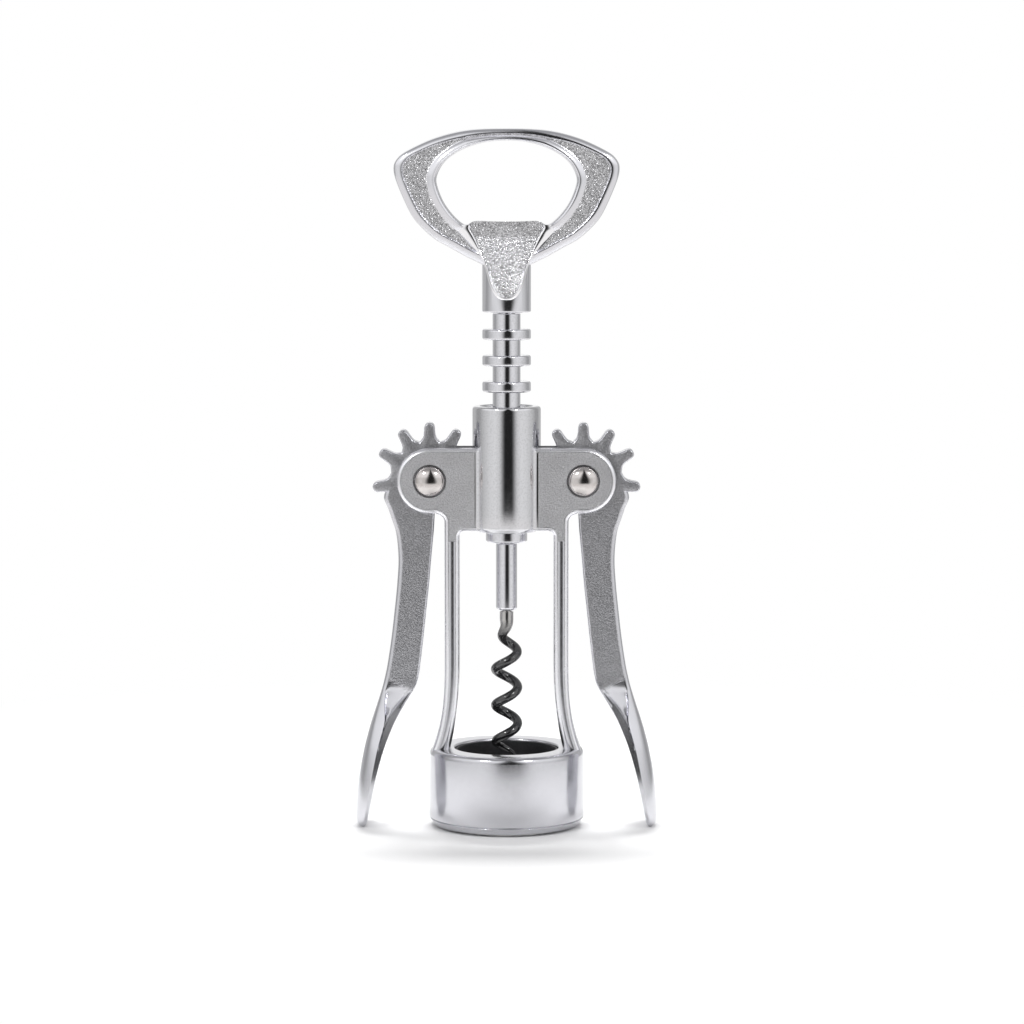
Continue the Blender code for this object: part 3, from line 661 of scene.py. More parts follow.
@dataclass(frozen=True)
class CastChrome(Finish):
    """Plated casting: coarse or fine grain where marked, smooth and bright elsewhere, with a painted shade of dark
    grey in the ears' slots.

    Attributes:
        name: the material's name.
        grain: size of the grain in metres.
        relief: height of the grain in metres.
        face: colour of the grained face.
        edge: colour of the smooth edges.
        face_rough: roughness of the grained face.
        edge_rough: roughness of the smooth edges.
        speckle: how far the grain darkens the face.
        raw: painted shade, a dark matte grey that stands in for the dim light inside the ears' slots.
    """

    name: str
    grain: float
    relief: float
    face: Colour
    edge: Colour
    face_rough: float
    edge_rough: float
    speckle: float
    # Painted shade for the faces inside the ears' slots: a dark matte grey in place of the shaded chrome.
    raw: Colour = (0.34, 0.34, 0.35)

    def surface(self, graph: Graph, where: Socket) -> Socket:
        """Build the shader.

        Args:
            graph: the material's node tree.
            where: the place on the piece.

        Returns:
            The shader.
        """
        grained, raw = graph.attribute("grain"), graph.attribute("raw")
        coarse = graph.noise(where, 1.0 / self.grain, 1.5, 0.55)
        fine = graph.noise(where, 2.3 / self.grain, 1.0, 0.5)
        cloud = graph.noise(where, 260.0)
        grit = coarse * 0.7 + fine * 0.3
        face = graph.speckled(grit.band(0.41, 0.56), self.face, 1.0 - self.speckle)
        # In the slots the chrome gives way to the painted shade: dark grey, rougher and barely metallic.
        colour = graph.mixed(raw, graph.mixed(grained, self.edge, face), self.raw)
        rough = self.edge_rough + grained * (self.face_rough - self.edge_rough) + (cloud - 0.5) * 0.08
        height = grit * (grained * 0.985 + 0.015)
        return graph.shader(colour, rough + raw * 0.3, height, self.relief, Metallic=1.0 - raw * 0.8)


@dataclass(frozen=True)
class TurnedChrome(Finish):
    """Turned and plated steel with faint tool marks round its axis.

    Attributes:
        name: the material's name.
        colour: its colour.
        rough: its roughness.
        mark: height of the tool marks in metres.
        speck: share of the colour that is left in the darkest specks.
    """

    name: str
    colour: Colour
    rough: float
    mark: float
    speck: float

    def surface(self, graph: Graph, where: Socket) -> Socket:
        """Build the shader.

        Args:
            graph: the material's node tree.
            where: the place on the piece.

        Returns:
            The shader.
        """
        height = graph.add("ShaderNodeSeparateXYZ", {}, {0: where}, output="Z")
        values = {"W": height, "Scale": 9000.0, "Detail": 2.0}
        lines = graph.add("ShaderNodeTexNoise", {"noise_dimensions": "1D"}, values)
        cloud = graph.noise(where, 700.0, 3.0)
        colour = graph.speckled(graph.noise(where, 2400.0).band(0.34, 0.55), self.colour, self.speck)
        rough = self.rough + (cloud - 0.5) * 0.10
        return graph.shader(colour, rough, lines * 0.35 + cloud * 0.65, self.mark, Metallic=1.0)


@dataclass(frozen=True)
class MirrorSteel(Finish):
    """Polished rivet steel with hairline scratches."""

    name: str = "mirror_steel"
    # Both tones carry a warm cast, a painted reflection of the warm surroundings that the domes' lower halves mirror;
    # haze mixes the two at random.
    dark: Colour = (0.60, 0.565, 0.55)
    light: Colour = (0.66, 0.63, 0.615)

    def surface(self, graph: Graph, where: Socket) -> Socket:
        """Build the shader.

        Args:
            graph: the material's node tree.
            where: the place on the piece.

        Returns:
            The shader.
        """
        haze = graph.noise(where, 900.0, 3.0)
        colour = graph.mixed(haze.band(0.35, 0.7), self.dark, self.light)
        return graph.shader(colour, 0.09 + haze * 0.05, haze, 0.000004, 0.6, Metallic=1.0)


@dataclass(frozen=True)
class BlackCoating(Finish):
    """Glossy black coating that thins to bare steel at the worm's tail.

    Attributes:
        black: colour of the coating.
        steel: colour of the bare steel.
        bare_from: height above which the steel is bare.
        bare_over: height over which the coating thins out.
        ragged: height over which its edge is uneven.
    """

    name: str = "black_coating"
    black: Colour = (0.012, 0.012, 0.013)
    steel: Colour = (0.52, 0.51, 0.50)
    bare_from: float = 0.0530
    bare_over: float = 0.0052
    ragged: float = 0.0020

    def surface(self, graph: Graph, where: Socket) -> Socket:
        """Build the shader.

        Args:
            graph: the material's node tree.
            where: the place on the piece.

        Returns:
            The shader.
        """
        height = graph.add("ShaderNodeSeparateXYZ", {}, {0: where}, output="Z")
        patchy = graph.noise(where, 1500.0, 3.0)
        edge = height + (patchy - 0.5) * self.ragged
        bare = edge.band(self.bare_from - self.bare_over, self.bare_from)
        colour = graph.mixed(bare, self.black, self.steel)
        peel = graph.noise(where, 1100.0)
        return graph.shader(colour, 0.08 + patchy * 0.06, peel, 0.00002, 0.8, Metallic=bare, IOR=1.8)


@dataclass(frozen=True)
class DarkPlastic(Finish):
    """Moulded dark plastic with a fine sparked texture."""

    name: str = "dark_plastic"
    dark: Colour = (0.020, 0.020, 0.022)
    light: Colour = (0.034, 0.034, 0.037)

    def surface(self, graph: Graph, where: Socket) -> Socket:
        """Build the shader.

        Args:
            graph: the material's node tree.
            where: the place on the piece.

        Returns:
            The shader.
        """
        sparks = graph.noise(where, 2600.0)
        colour = graph.mixed(sparks.band(0.3, 0.7), self.dark, self.light)
        return graph.shader(colour, 0.38 + sparks * 0.2, sparks, 0.00004, 0.8)


class Recipe(Graph):
    """A Geometry Nodes tree with named inputs that makes a plain mesh."""

    def __init__(self, name: str, sizes: dict[str, float]) -> None:
        """Start a tree with an input for each size.

        Args:
            name: the tree's name.
            sizes: each input's name and value.
        """
        super().__init__(bpy.data.node_groups.new(name, "GeometryNodeTree"))
        face = self.tree.interface
        face.new_socket("Geometry", in_out="OUTPUT", socket_type="NodeSocketGeometry")
        face.new_socket("Geometry", in_out="INPUT", socket_type="NodeSocketGeometry")
        self.sizes = sizes
        self.named = {}
        for key, value in sizes.items():
            kind = "NodeSocketInt" if isinstance(value, int) else "NodeSocketFloat"
            self.named[key] = face.new_socket(key, in_out="INPUT", socket_type=kind).identifier
        self.entry = self.tree.nodes.new("NodeGroupInput")

    def __getitem__(self, name: str) -> Socket:
        """Give the input of a size."""
        return Socket(self, self.entry.outputs[name])

    def make(self, name: str, shape: Socket, material: Material) -> Piece:
        """End the tree, run it and keep the result as a plain mesh.

        Args:
            name: the piece's name.
            shape: the geometry to keep.
            material: the material that the tree sets.

        Returns:
            The plain object.
        """
        real = self.add("GeometryNodeRealizeInstances", {}, {0: shape})
        dressed = self.add("GeometryNodeSetMaterial", {}, {"Geometry": real, "Material": material})
        self.add("NodeGroupOutput", {}, {0: dressed})
        piece = Shape([(0.0, 0.0, 0.0)], []).made(name)
        modifier = piece.modifiers.new(name, "NODES")
        modifier.node_group = self.tree
        for key, value in self.sizes.items():
            modifier[self.named[key]] = value
        bpy.context.view_layer.update()
        return settle(piece)


@dataclass
class SubAssembly:
    """Pieces that ride on one body of the model.

    Attributes:
        body: the body's name.
    """

    body: str

    def keep(
        self, piece: Piece, slot: str, material: Optional[Material] = None, nodes: Sequence[str] = ()
    ) -> Piece:
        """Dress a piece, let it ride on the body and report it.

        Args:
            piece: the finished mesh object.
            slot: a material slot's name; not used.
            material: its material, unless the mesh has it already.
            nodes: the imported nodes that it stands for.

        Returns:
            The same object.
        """
        if material is not None:
            piece.data.materials.clear()
            piece.data.materials.append(material)
        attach(piece, self.body)
        if nodes:
            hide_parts(*nodes)
        log.info("%s: %d faces on %s", piece.name, len(piece.data.polygons), self.body)
        return piece


@dataclass
class Casting(SubAssembly):
    """Frame: ears, web, legs, barrel and bell."""

    ear_radius: float = 0.00825
    half_depth: float = 0.0050
    bevel: float = 0.00115
    leg_outer: float = 0.0155
    leg_inner: float = 0.0118
    slot_radius: float = 0.0150
    slot_half_depth: float = 0.0028
    pin_hole: float = 0.0023
    pocket_radius: float = 0.0040
    pocket_depth: float = 0.0010
    barrel_foot: float = 0.0747
    barrel_top: float = 0.1062
    barrel_radius: float = 0.0086
    barrel_bore: float = 0.0066
    fillet: float = 0.0019
    bell_foot: float = 0.0006
    bell_top: float = 0.01995
    bell_radius: float = 0.0194
    bell_bore: float = 0.0166
    bell_hole: float = 0.01305
    bell_roof: float = 0.0028
    foot_rise: float = 0.0240
    foot_width: float = 0.0046
    foot_sink: float = 0.0020
    leg_corner: float = 0.0014
    face_step: Flat = (0.00002, 0.00005)
    trim_gap: float = 0.00008
    pocket_lip: float = 0.00022
    pocket_flare: float = 0.0022
    grain_below: float = 0.0040
    fillet_sink: float = 0.00004
    fillet_step: float = 0.0006
    fillet_back: float = 0.0022
    fillet_centre: Flat = (0.0012, 0.0004)
    rib_top: float = 0.0022
    rib_lap: float = 0.0004
    rib_margin: float = 0.00098
    rib_sink: float = 0.00006
    rib_rise: float = 0.00024
    segments: int = 160
    heel: tuple[Flat, ...] = ((0.00077, 0.00055), (0.00011, 0.00144), (0.0, 0.0024), (0.0, 0.0050))
    rib_loop: tuple[Flat, ...] = (
        (-1.0, -0.3), (-0.85, 0.35), (-0.5, 0.8), (0.0, 1.0), (0.5, 0.8), (0.85, 0.35), (1.0, -0.3),
    )
    barrel_heel: tuple[tuple[float, ...], ...] = (
        (-0.0010, 0.0, 0.00015), (-0.0004, 0.0009, 0.0003), (0.0, 0.006, 0.0),
    )
    bell_rim: tuple[tuple[float, ...], ...] = (
        (-0.0010, 0.0, 0.0003), (-0.00006, 0.0015, 0.0001), (-0.0003, 0.0017, 0.0), (0.0, 0.00192, 0.0001),
    )

    def leg(self, share: float) -> Flat:
        """Widen a leg towards the bell.

        Args:
            share: 0 where the leg is straight, 1 at the bell.

        Returns:
            Its outer and inner x.
        """
        foot = self.bell_radius - self.foot_width
        return (
            blend(self.leg_outer, self.bell_radius, share ** 3.0), blend(self.leg_inner, foot, share ** 2.5),
        )

    def outline(self) -> list[Flat]:
        """Draw ears, web and legs as one clockwise outline, open between the legs.

        Returns:
            The outline.
        """
        half = [(0.0, PIVOT_HEIGHT + self.ear_radius)]
        half += arc((PIVOT_SPREAD, PIVOT_HEIGHT), self.ear_radius, 0.0, 190.0, 60)
        heel_top = PIVOT_HEIGHT - self.ear_radius
        heel = [half[-1]] + [(self.leg_outer + out, heel_top - down) for out, down in self.heel]
        half += spline(heel, 5)[1:]
        low, high = self.bell_top - self.foot_sink, self.bell_top + self.foot_rise
        shares = [step / 26 for step in range(27)]
        half += [(self.leg(share)[0], blend(high, low, share)) for share in shares]
        half += [(self.leg(1.0 - share)[1], blend(high, low, 1.0 - share)) for share in shares]
        top, corner = self.barrel_foot + PLAY, self.leg_corner
        half += arc((self.leg_inner - corner, top - corner), corner, 90.0, 0.0, 10)
        half.append((0.0, top))
        return half + [(-x, z) for x, z in reversed(half[1:-1])]

    def yoke(self) -> Piece:
        """Make ears, web and legs with their slots and rivet pockets.

        Returns:
            The finished object.
        """
        edge = [(self.bevel * (1.0 - math.cos(turn)), self.bevel * (1.0 - math.sin(turn))) for turn in QUARTER]
        edge.append((self.bevel + self.face_step[0], self.face_step[1]))
        blank = Shape.plate(self.outline(), edge, self.half_depth)
        radii = (self.bell_radius - self.trim_gap, self.bell_radius + 0.005)
        trim = Shape.tube(radii, (self.bell_foot, self.bell_top + 0.006), self.segments)
        ends = (self.barrel_foot - OVERSHOOT, self.barrel_top + OVERSHOOT)
        bore = Shape.tube((0.0, self.barrel_bore), ends, self.segments, phase=OFF_PHASE)
        steps = [(Cut.AWAY, trim), (Cut.AWAY, bore)]
        ends = (-self.slot_half_depth, self.slot_half_depth)
        slot = Shape.tube((0.0, self.slot_radius), ends, SIDES, Axis.DEPTH, OFF_PHASE)
        floor, out = self.half_depth - self.pocket_depth, self.half_depth + OVERSHOOT
        back = [
            (self.pin_hole, floor), (self.pocket_radius, floor),
            (self.pocket_radius, self.half_depth - self.pocket_lip),
            (self.pocket_radius + self.pocket_flare, out), (0.0, out),
        ]
        profile = [(radius, -depth) for radius, depth in reversed(back)] + back
        for side in Side:
            steps.append((Cut.AWAY, slot.placed(side.axle)))
            steps.append((Cut.AWAY, Shape.turned(profile, BORE_SIDES, Axis.DEPTH).placed(side.axle)))
        # The faces inside the slots are marked for the painted shade.
        piece = marked(smoothed(worked("yoke", blank, steps)), "raw", self.in_slot, by_face=True)
        return marked(piece, "grain", self.grain_at)

    def grain_at(self, point: Vector, normal: Vector) -> float:
        """Tell whether a point lies on the flat faces above the legs, a hair below their rims.

        Args:
            point: a point of the piece, or the middle of a face.
            normal: the normal there.

        Returns:
            1 on those faces, and otherwise 0.
        """
        level = self.half_depth - abs(point.y)
        sunk = self.face_step[0] < level < self.face_step[1] + HAIR
        return float(sunk and point.z > self.barrel_foot - self.grain_below)

    def in_slot(self, point: Vector, normal: Vector) -> float:
        """Tell whether a face lies inside an ear's slot, where a dark grey is painted as shade."""
        away = math.hypot(abs(point.x) - PIVOT_SPREAD, point.z - PIVOT_HEIGHT)
        return float(abs(point.y) < self.slot_half_depth + HAIR and away < self.slot_radius + HAIR)

    def ribs(self) -> Piece:
        """Run a low rounded rib down the middle of each leg, in front and at the back.

        Returns:
            The finished object.
        """
        low, high = self.bell_top - self.rib_lap, self.bell_top + self.foot_rise
        heights = [blend(self.barrel_foot - self.rib_top, high, step / 4) for step in range(4)]
        heights += [blend(high, low, step / 24) for step in range(25)]
        sections = []
        for height in heights:
            outer, inner = self.leg(max((high - height) / (self.foot_rise + self.foot_sink), 0.0))
            middle, half = (outer + inner) / 2, (outer - inner) / 2 - self.rib_margin
            base = self.half_depth - self.rib_sink
            sections.append([(middle + half * x, base + self.rib_rise * y, height) for x, y in self.rib_loop])
        return smoothed(Shape.mirrored(sections).made("leg_ribs"), math.radians(60.0))

    def barrel(self) -> Piece:
        """Turn the barrel with its rounded rim.

        Returns:
            The finished object.
        """
        heel = [(self.barrel_radius + out, self.barrel_foot + up, corner) for out, up, corner in self.barrel_heel]
        rim = [(self.barrel_radius, self.barrel_top, 0.0010), (self.barrel_bore, self.barrel_top, 0.0004)]
        profile = rounded([(self.barrel_bore, self.barrel_foot, 0.0)] + heel + rim, 6)
        return smoothed(Shape.turned(profile, self.segments).made("barrel"))

    def fillets(self) -> Piece:
        """Make the cast fillets between the barrel and the ears' faces.

        Returns:
            The finished object.
        """
        radius = self.barrel_radius + self.fillet
        y = self.half_depth - self.fillet_sink + self.fillet
        x = math.sqrt(radius ** 2 - y ** 2)
        start = math.degrees(math.atan2(-x, -y))
        step, floor = self.fillet_step, y - self.fillet
        low, high = self.barrel_foot + self.barrel_heel[1][1], PIVOT_HEIGHT + self.ear_radius - step
        loop = arc((x, y), self.fillet, start, -180.0, 10)
        loop += [(x, floor - step), (x - self.fillet_back, floor - step)]
        centre = (x - self.fillet_centre[0], floor - self.fillet_centre[1])
        sections = [
            [(blend(centre[0], a, share), blend(centre[1], b, share), height) for a, b in loop]
            for height, share in ((low, 0.86), (low + step, 1.0), (high - step, 1.0), (high, 0.8))
        ]
        fillets = Shape.mirrored(sections, turned=-1).made("barrel_fillets")
        return smoothed(fillets, math.radians(40.0))

    def bell(self) -> Piece:
        """Turn the bell that sits on the bottle's neck.

        Returns:
            The finished object.
        """
        under = self.bell_top - self.bell_roof
        rim = [(self.bell_radius + out, self.bell_foot + up, corner) for out, up, corner in self.bell_rim]
        profile = rounded(rim + [
            (self.bell_radius, self.bell_top, 0.0016), (self.bell_hole, self.bell_top, 0.0006),
            (self.bell_hole, under, 0.0003), (self.bell_bore, under, 0.0),
            (self.bell_bore, self.bell_foot, 0.0003),
        ], 6)
        return smoothed(Shape.turned(profile, self.segments).made("bell"))

    def build(self, cast: Material, barrel: Material, bell: Material) -> None:
        """Make and dress the casting's pieces.

        Args:
            cast: finish of the yoke.
            barrel: finish of the barrel and its fillets.
            bell: finish of the bell.
        """
        self.keep(self.yoke(), "cast_chrome", cast, ["frame"])
        for piece, finish in (
            (self.barrel(), barrel), (self.fillets(), barrel), (self.bell(), bell), (self.ribs(), bell)
        ):
            self.keep(piece, "cast_chrome", finish)


@dataclass
class Guide(SubAssembly):
    """Plastic ring in the bell that centres the bottle's neck."""

    radius: float = 0.0163
    hole: float = 0.0129
    throat: float = 0.0124
    lip: float = 0.0194
    foot: float = 0.0012
    top: float = 0.01685
    roof: float = 0.0016
    wall: float = 0.0012

    def build(self, plastic: Material) -> None:
        """Turn and dress the guide.

        Args:
            plastic: its finish.
        """
        inner, under = self.radius - self.wall, self.top - self.roof
        profile = rounded([
            (self.radius, self.foot, 0.0002), (self.radius, self.top, 0.0002), (self.hole, self.top, 0.0),
            (self.hole, self.lip, 0.0002), (self.throat, self.lip, 0.0002), (self.throat, under, 0.0004),
            (inner, under, 0.0010), (inner, self.foot, 0.0002),
        ])
        piece = smoothed(Shape.turned(profile, 128).made("bottle_guide"))
        self.keep(piece, "dark_plastic", plastic, ["bell_liner"])


@dataclass
class Rivet(SubAssembly):
    """Axle with its domed head in front and its cap at the back."""

    side: Side = Side.LEFT
    pin: float = 0.0020
    head: float = 0.00365
    seat: float = 0.0043
    face: float = 0.0050
    dome: float = 0.0019
    socket: float = 0.0010
    rim: float = 0.00012

    def dome_profile(self, direction: int) -> list[Flat]:
        """List the dome's profile from its rim to its crown.

        Args:
            direction: -1 towards the front, 1 towards the back.

        Returns:
            Points as (radius, depth).
        """
        rim = [(self.head - self.rim, direction * self.seat), (self.head, direction * (self.seat + self.rim))]
        turns = [math.radians(90.0) * step / 22 for step in range(23)]
        curve = [(self.head * math.cos(turn), direction * (self.face + self.dome * math.sin(turn))) for turn in turns]
        return rim + curve[:-1] + [(0.0, curve[-1][1])]

    def build(self, steel: Material) -> None:
        """Turn and dress the axle and its cap.

        Args:
            steel: their finish.
        """
        end, bevel, hole = self.seat + self.socket, 0.0002, self.pin + PLAY
        axle = list(reversed(self.dome_profile(-1)))
        axle += [(self.pin, -self.seat), (self.pin, end - bevel), (self.pin - bevel, end), (0.0, end)]
        cap = [(0.0, end + PLAY), (hole, end + PLAY), (hole, self.seat)] + self.dome_profile(1)
        for profile, name, node in ((axle, "axle", "rivet"), (cap, "axle_cap", "rivet_cap")):
            shape = Shape.turned(profile, SIDES, Axis.DEPTH).placed(self.side.axle)
            piece = smoothed(shape.made(f"{self.side.label}_{name}"))
            self.keep(piece, "rivet_steel", steel, [f"{self.side.label}_{node}"])


@dataclass
class Rack(SubAssembly):
    """Ringed rack that the levers' teeth run in."""

    core: float = 0.0035
    bore: float = 0.0023
    land: float = 0.0063
    foot: float = 0.0750
    land_top: float = 0.0819
    top: float = 0.1293
    ring: float = 0.0061
    half_thickness: float = 0.00135
    lowest: float = 0.08484
    pitch: float = 0.006545
    count: int = 7
    ring_lap: float = 0.0004
    rounding: float = 0.00055

    def build(self, chrome: Material) -> None:
        """Turn the core and let the rings repeat along it.

        Args:
            chrome: their finish.
        """
        profile = rounded([
            (self.bore, self.foot, 0.0), (self.land, self.foot, 0.0006), (self.land, self.land_top, 0.0006),
            (self.core, self.land_top, 0.0002), (self.core, self.top, 0.0002), (self.bore, self.top, 0.0),
        ])
        core = smoothed(Shape.turned(profile, SIDES).made("rack_core"))
        self.keep(core, "polished_chrome", chrome, ["rack_sleeve"])
        recipe = Recipe("rack_rings", {
            "Rings": self.count, "Pitch": self.pitch, "Lowest": self.lowest, "Inner": self.core - self.ring_lap,
            "Outer": self.ring, "Thickness": 2 * self.half_thickness, "Rounding": self.rounding,
        })
        inner, outer = recipe["Inner"], recipe["Outer"]
        section = recipe.add("GeometryNodeCurvePrimitiveQuadrilateral", {"mode": "RECTANGLE"}, {
            "Width": outer - inner, "Height": recipe["Thickness"],
        })
        section = recipe.add("GeometryNodeFilletCurve", {"mode": "POLY"}, {
            "Curve": section, "Count": 5, "Radius": recipe["Rounding"],
        })
        path = recipe.add("GeometryNodeCurvePrimitiveCircle", {"mode": "RADIUS"}, {
            "Resolution": SIDES, "Radius": (inner + outer) * 0.5,
        })
        ring = recipe.add("GeometryNodeCurveToMesh", {}, {"Curve": path, "Profile Curve": section})
        start = recipe.add("ShaderNodeCombineXYZ", {}, {"Z": recipe["Lowest"]})
        offset = recipe.add("ShaderNodeCombineXYZ", {}, {"Z": recipe["Pitch"]})
        line = recipe.add("GeometryNodeMeshLine", {}, {
            "Count": recipe["Rings"], "Start Location": start, "Offset": offset,
        })
        rings = recipe.add("GeometryNodeInstanceOnPoints", {}, {"Points": line, "Instance": ring})
        piece = smoothed(recipe.make("rack_rings", rings, chrome))
        self.keep(piece, "polished_chrome")


@dataclass
class Spindle(SubAssembly):
    """Rod, flange and worm below the handle."""

    rod: float = 0.0020
    shank: float = 0.00264
    shank_foot: float = 0.0547
    shank_top: float = 0.0716
    rod_top: float = 0.1378
    plug: float = 0.0013
    plug_length: float = 0.0040
    tail: float = 0.00172
    tail_top: float = 0.0544
    coil_top: float = 0.0526
    length: float = 0.0350
    wire: float = 0.00118
    coil: float = 0.00278
    worm_pitch: float = 0.0092
    lead_in: float = 0.0096
    right_bend: float = 0.04425
    point: float = 0.0050
    flange: float = 0.0052
    flange_foot: float = 0.0719
    flange_top: float = 0.0747
    thin_over: float = 0.0045
    blunt: float = 0.10
    wire_steps: int = 900
    wire_sides: int = 28

    def rod_shape(self) -> Shape:
        """Turn the rod with its thicker shank.

        Returns:
            The turned shape.
        """
        socket = self.plug + PLAY
        deep = self.shank_foot + self.plug_length + PLAY
        profile = rounded([
            (0.0, deep, 0.0), (socket, deep, 0.0), (socket, self.shank_foot, 0.0),
            (self.shank - 0.0004, self.shank_foot, 0.00015), (self.shank, self.shank_foot + 0.0005, 0.0003),
            (self.shank, self.shank_top, 0.0002), (self.rod, self.shank_top, 0.0),
            (self.rod, self.rod_top, 0.0002), (0.0, self.rod_top, 0.0),
        ])
        return Shape.turned(profile, SIDES)

    def flange_shape(self) -> Shape:
        """Turn the flange that holds the rack.

        Returns:
            The turned shape.
        """
        hole = self.rod + PLAY
        profile = rounded([
            (hole, self.flange_foot, 0.0), (self.flange - 0.0004, self.flange_foot, 0.0002),
            (self.flange, self.flange_foot + 0.0004, 0.0002), (self.flange, self.flange_top, 0.0003),
            (hole, self.flange_top, 0.0),
        ])
        return Shape.turned(profile, SIDES)

    def worm(self, coating: Material) -> Piece:
        """Bend the worm's wire along its helix.

        Args:
            coating: its finish.

        Returns:
            The finished object.
        """
        recipe = Recipe("worm", {
            "Top": self.coil_top, "Length": self.length, "Plug Top": self.shank_foot + self.plug_length,
            "Coil": self.coil, "Pitch": self.worm_pitch, "Lead In": self.lead_in, "Right Bend": self.right_bend,
            "Wire": self.wire, "Tail": self.tail, "Plug": self.plug, "Tail Top": self.tail_top, "Point": self.point,
        })
        top, length = recipe["Top"], recipe["Length"]
        start = recipe.add("ShaderNodeCombineXYZ", {}, {"Z": recipe["Plug Top"]})
        end = recipe.add("ShaderNodeCombineXYZ", {}, {"Z": top - length})
        line = recipe.add("GeometryNodeCurvePrimitiveLine", {"mode": "POINTS"}, {"Start": start, "End": end})
        line = recipe.add("GeometryNodeResampleCurve", {"mode": "COUNT"}, {"Curve": line, "Count": self.wire_steps})
        height = recipe.add("ShaderNodeSeparateXYZ", {}, {0: recipe.add("GeometryNodeInputPosition")}, output="Z")
        drop = top - height
        spread = recipe["Coil"] * drop.band(0.0, recipe["Lead In"])
        turn = (height - recipe["Right Bend"]) * (2 * math.pi) / recipe["Pitch"]
        place = recipe.add("ShaderNodeCombineXYZ", {}, {
            "X": spread * turn.math("COSINE"), "Y": spread * turn.math("SINE"), "Z": height,
        })
        line = recipe.add("GeometryNodeSetPosition", {}, {"Geometry": line, "Position": place})
        thin = drop.band(0.0, self.thin_over)
        wire = recipe["Tail"] + (recipe["Wire"] - recipe["Tail"]) * thin
        left = ((length - drop) / recipe["Point"]).math("MINIMUM", 1.0).math("MAXIMUM", 0.0).math("SQRT")
        wire = wire * (self.blunt + (1.0 - self.blunt) * left)
        in_plug = height.math("GREATER_THAN", recipe["Tail Top"])
        wire = wire + (recipe["Plug"] - wire) * in_plug
        line = recipe.add("GeometryNodeSetCurveRadius", {}, {"Curve": line, "Radius": wire})
        values = {"Resolution": self.wire_sides, "Radius": 1.0}
        circle = recipe.add("GeometryNodeCurvePrimitiveCircle", {"mode": "RADIUS"}, values)
        skin = recipe.add("GeometryNodeCurveToMesh", {}, {
            "Curve": line, "Profile Curve": circle, "Scale": wire, "Fill Caps": True,
        })
        return smoothed(recipe.make("worm_wire", skin, coating), math.radians(50.0))

    def build(self, chrome: Material, coating: Material) -> None:
        """Make and dress rod, flange and worm.

        Args:
            chrome: finish of rod and flange.
            coating: finish of the worm.
        """
        for shape, name, node in (
            (self.rod_shape(), "rod", "worm_shank"), (self.flange_shape(), "flange", "shank_flange")
        ):
            self.keep(smoothed(shape.made(name)), "polished_chrome", chrome, [node])
        self.keep(self.worm(coating), "black_coating", None, ["worm"])
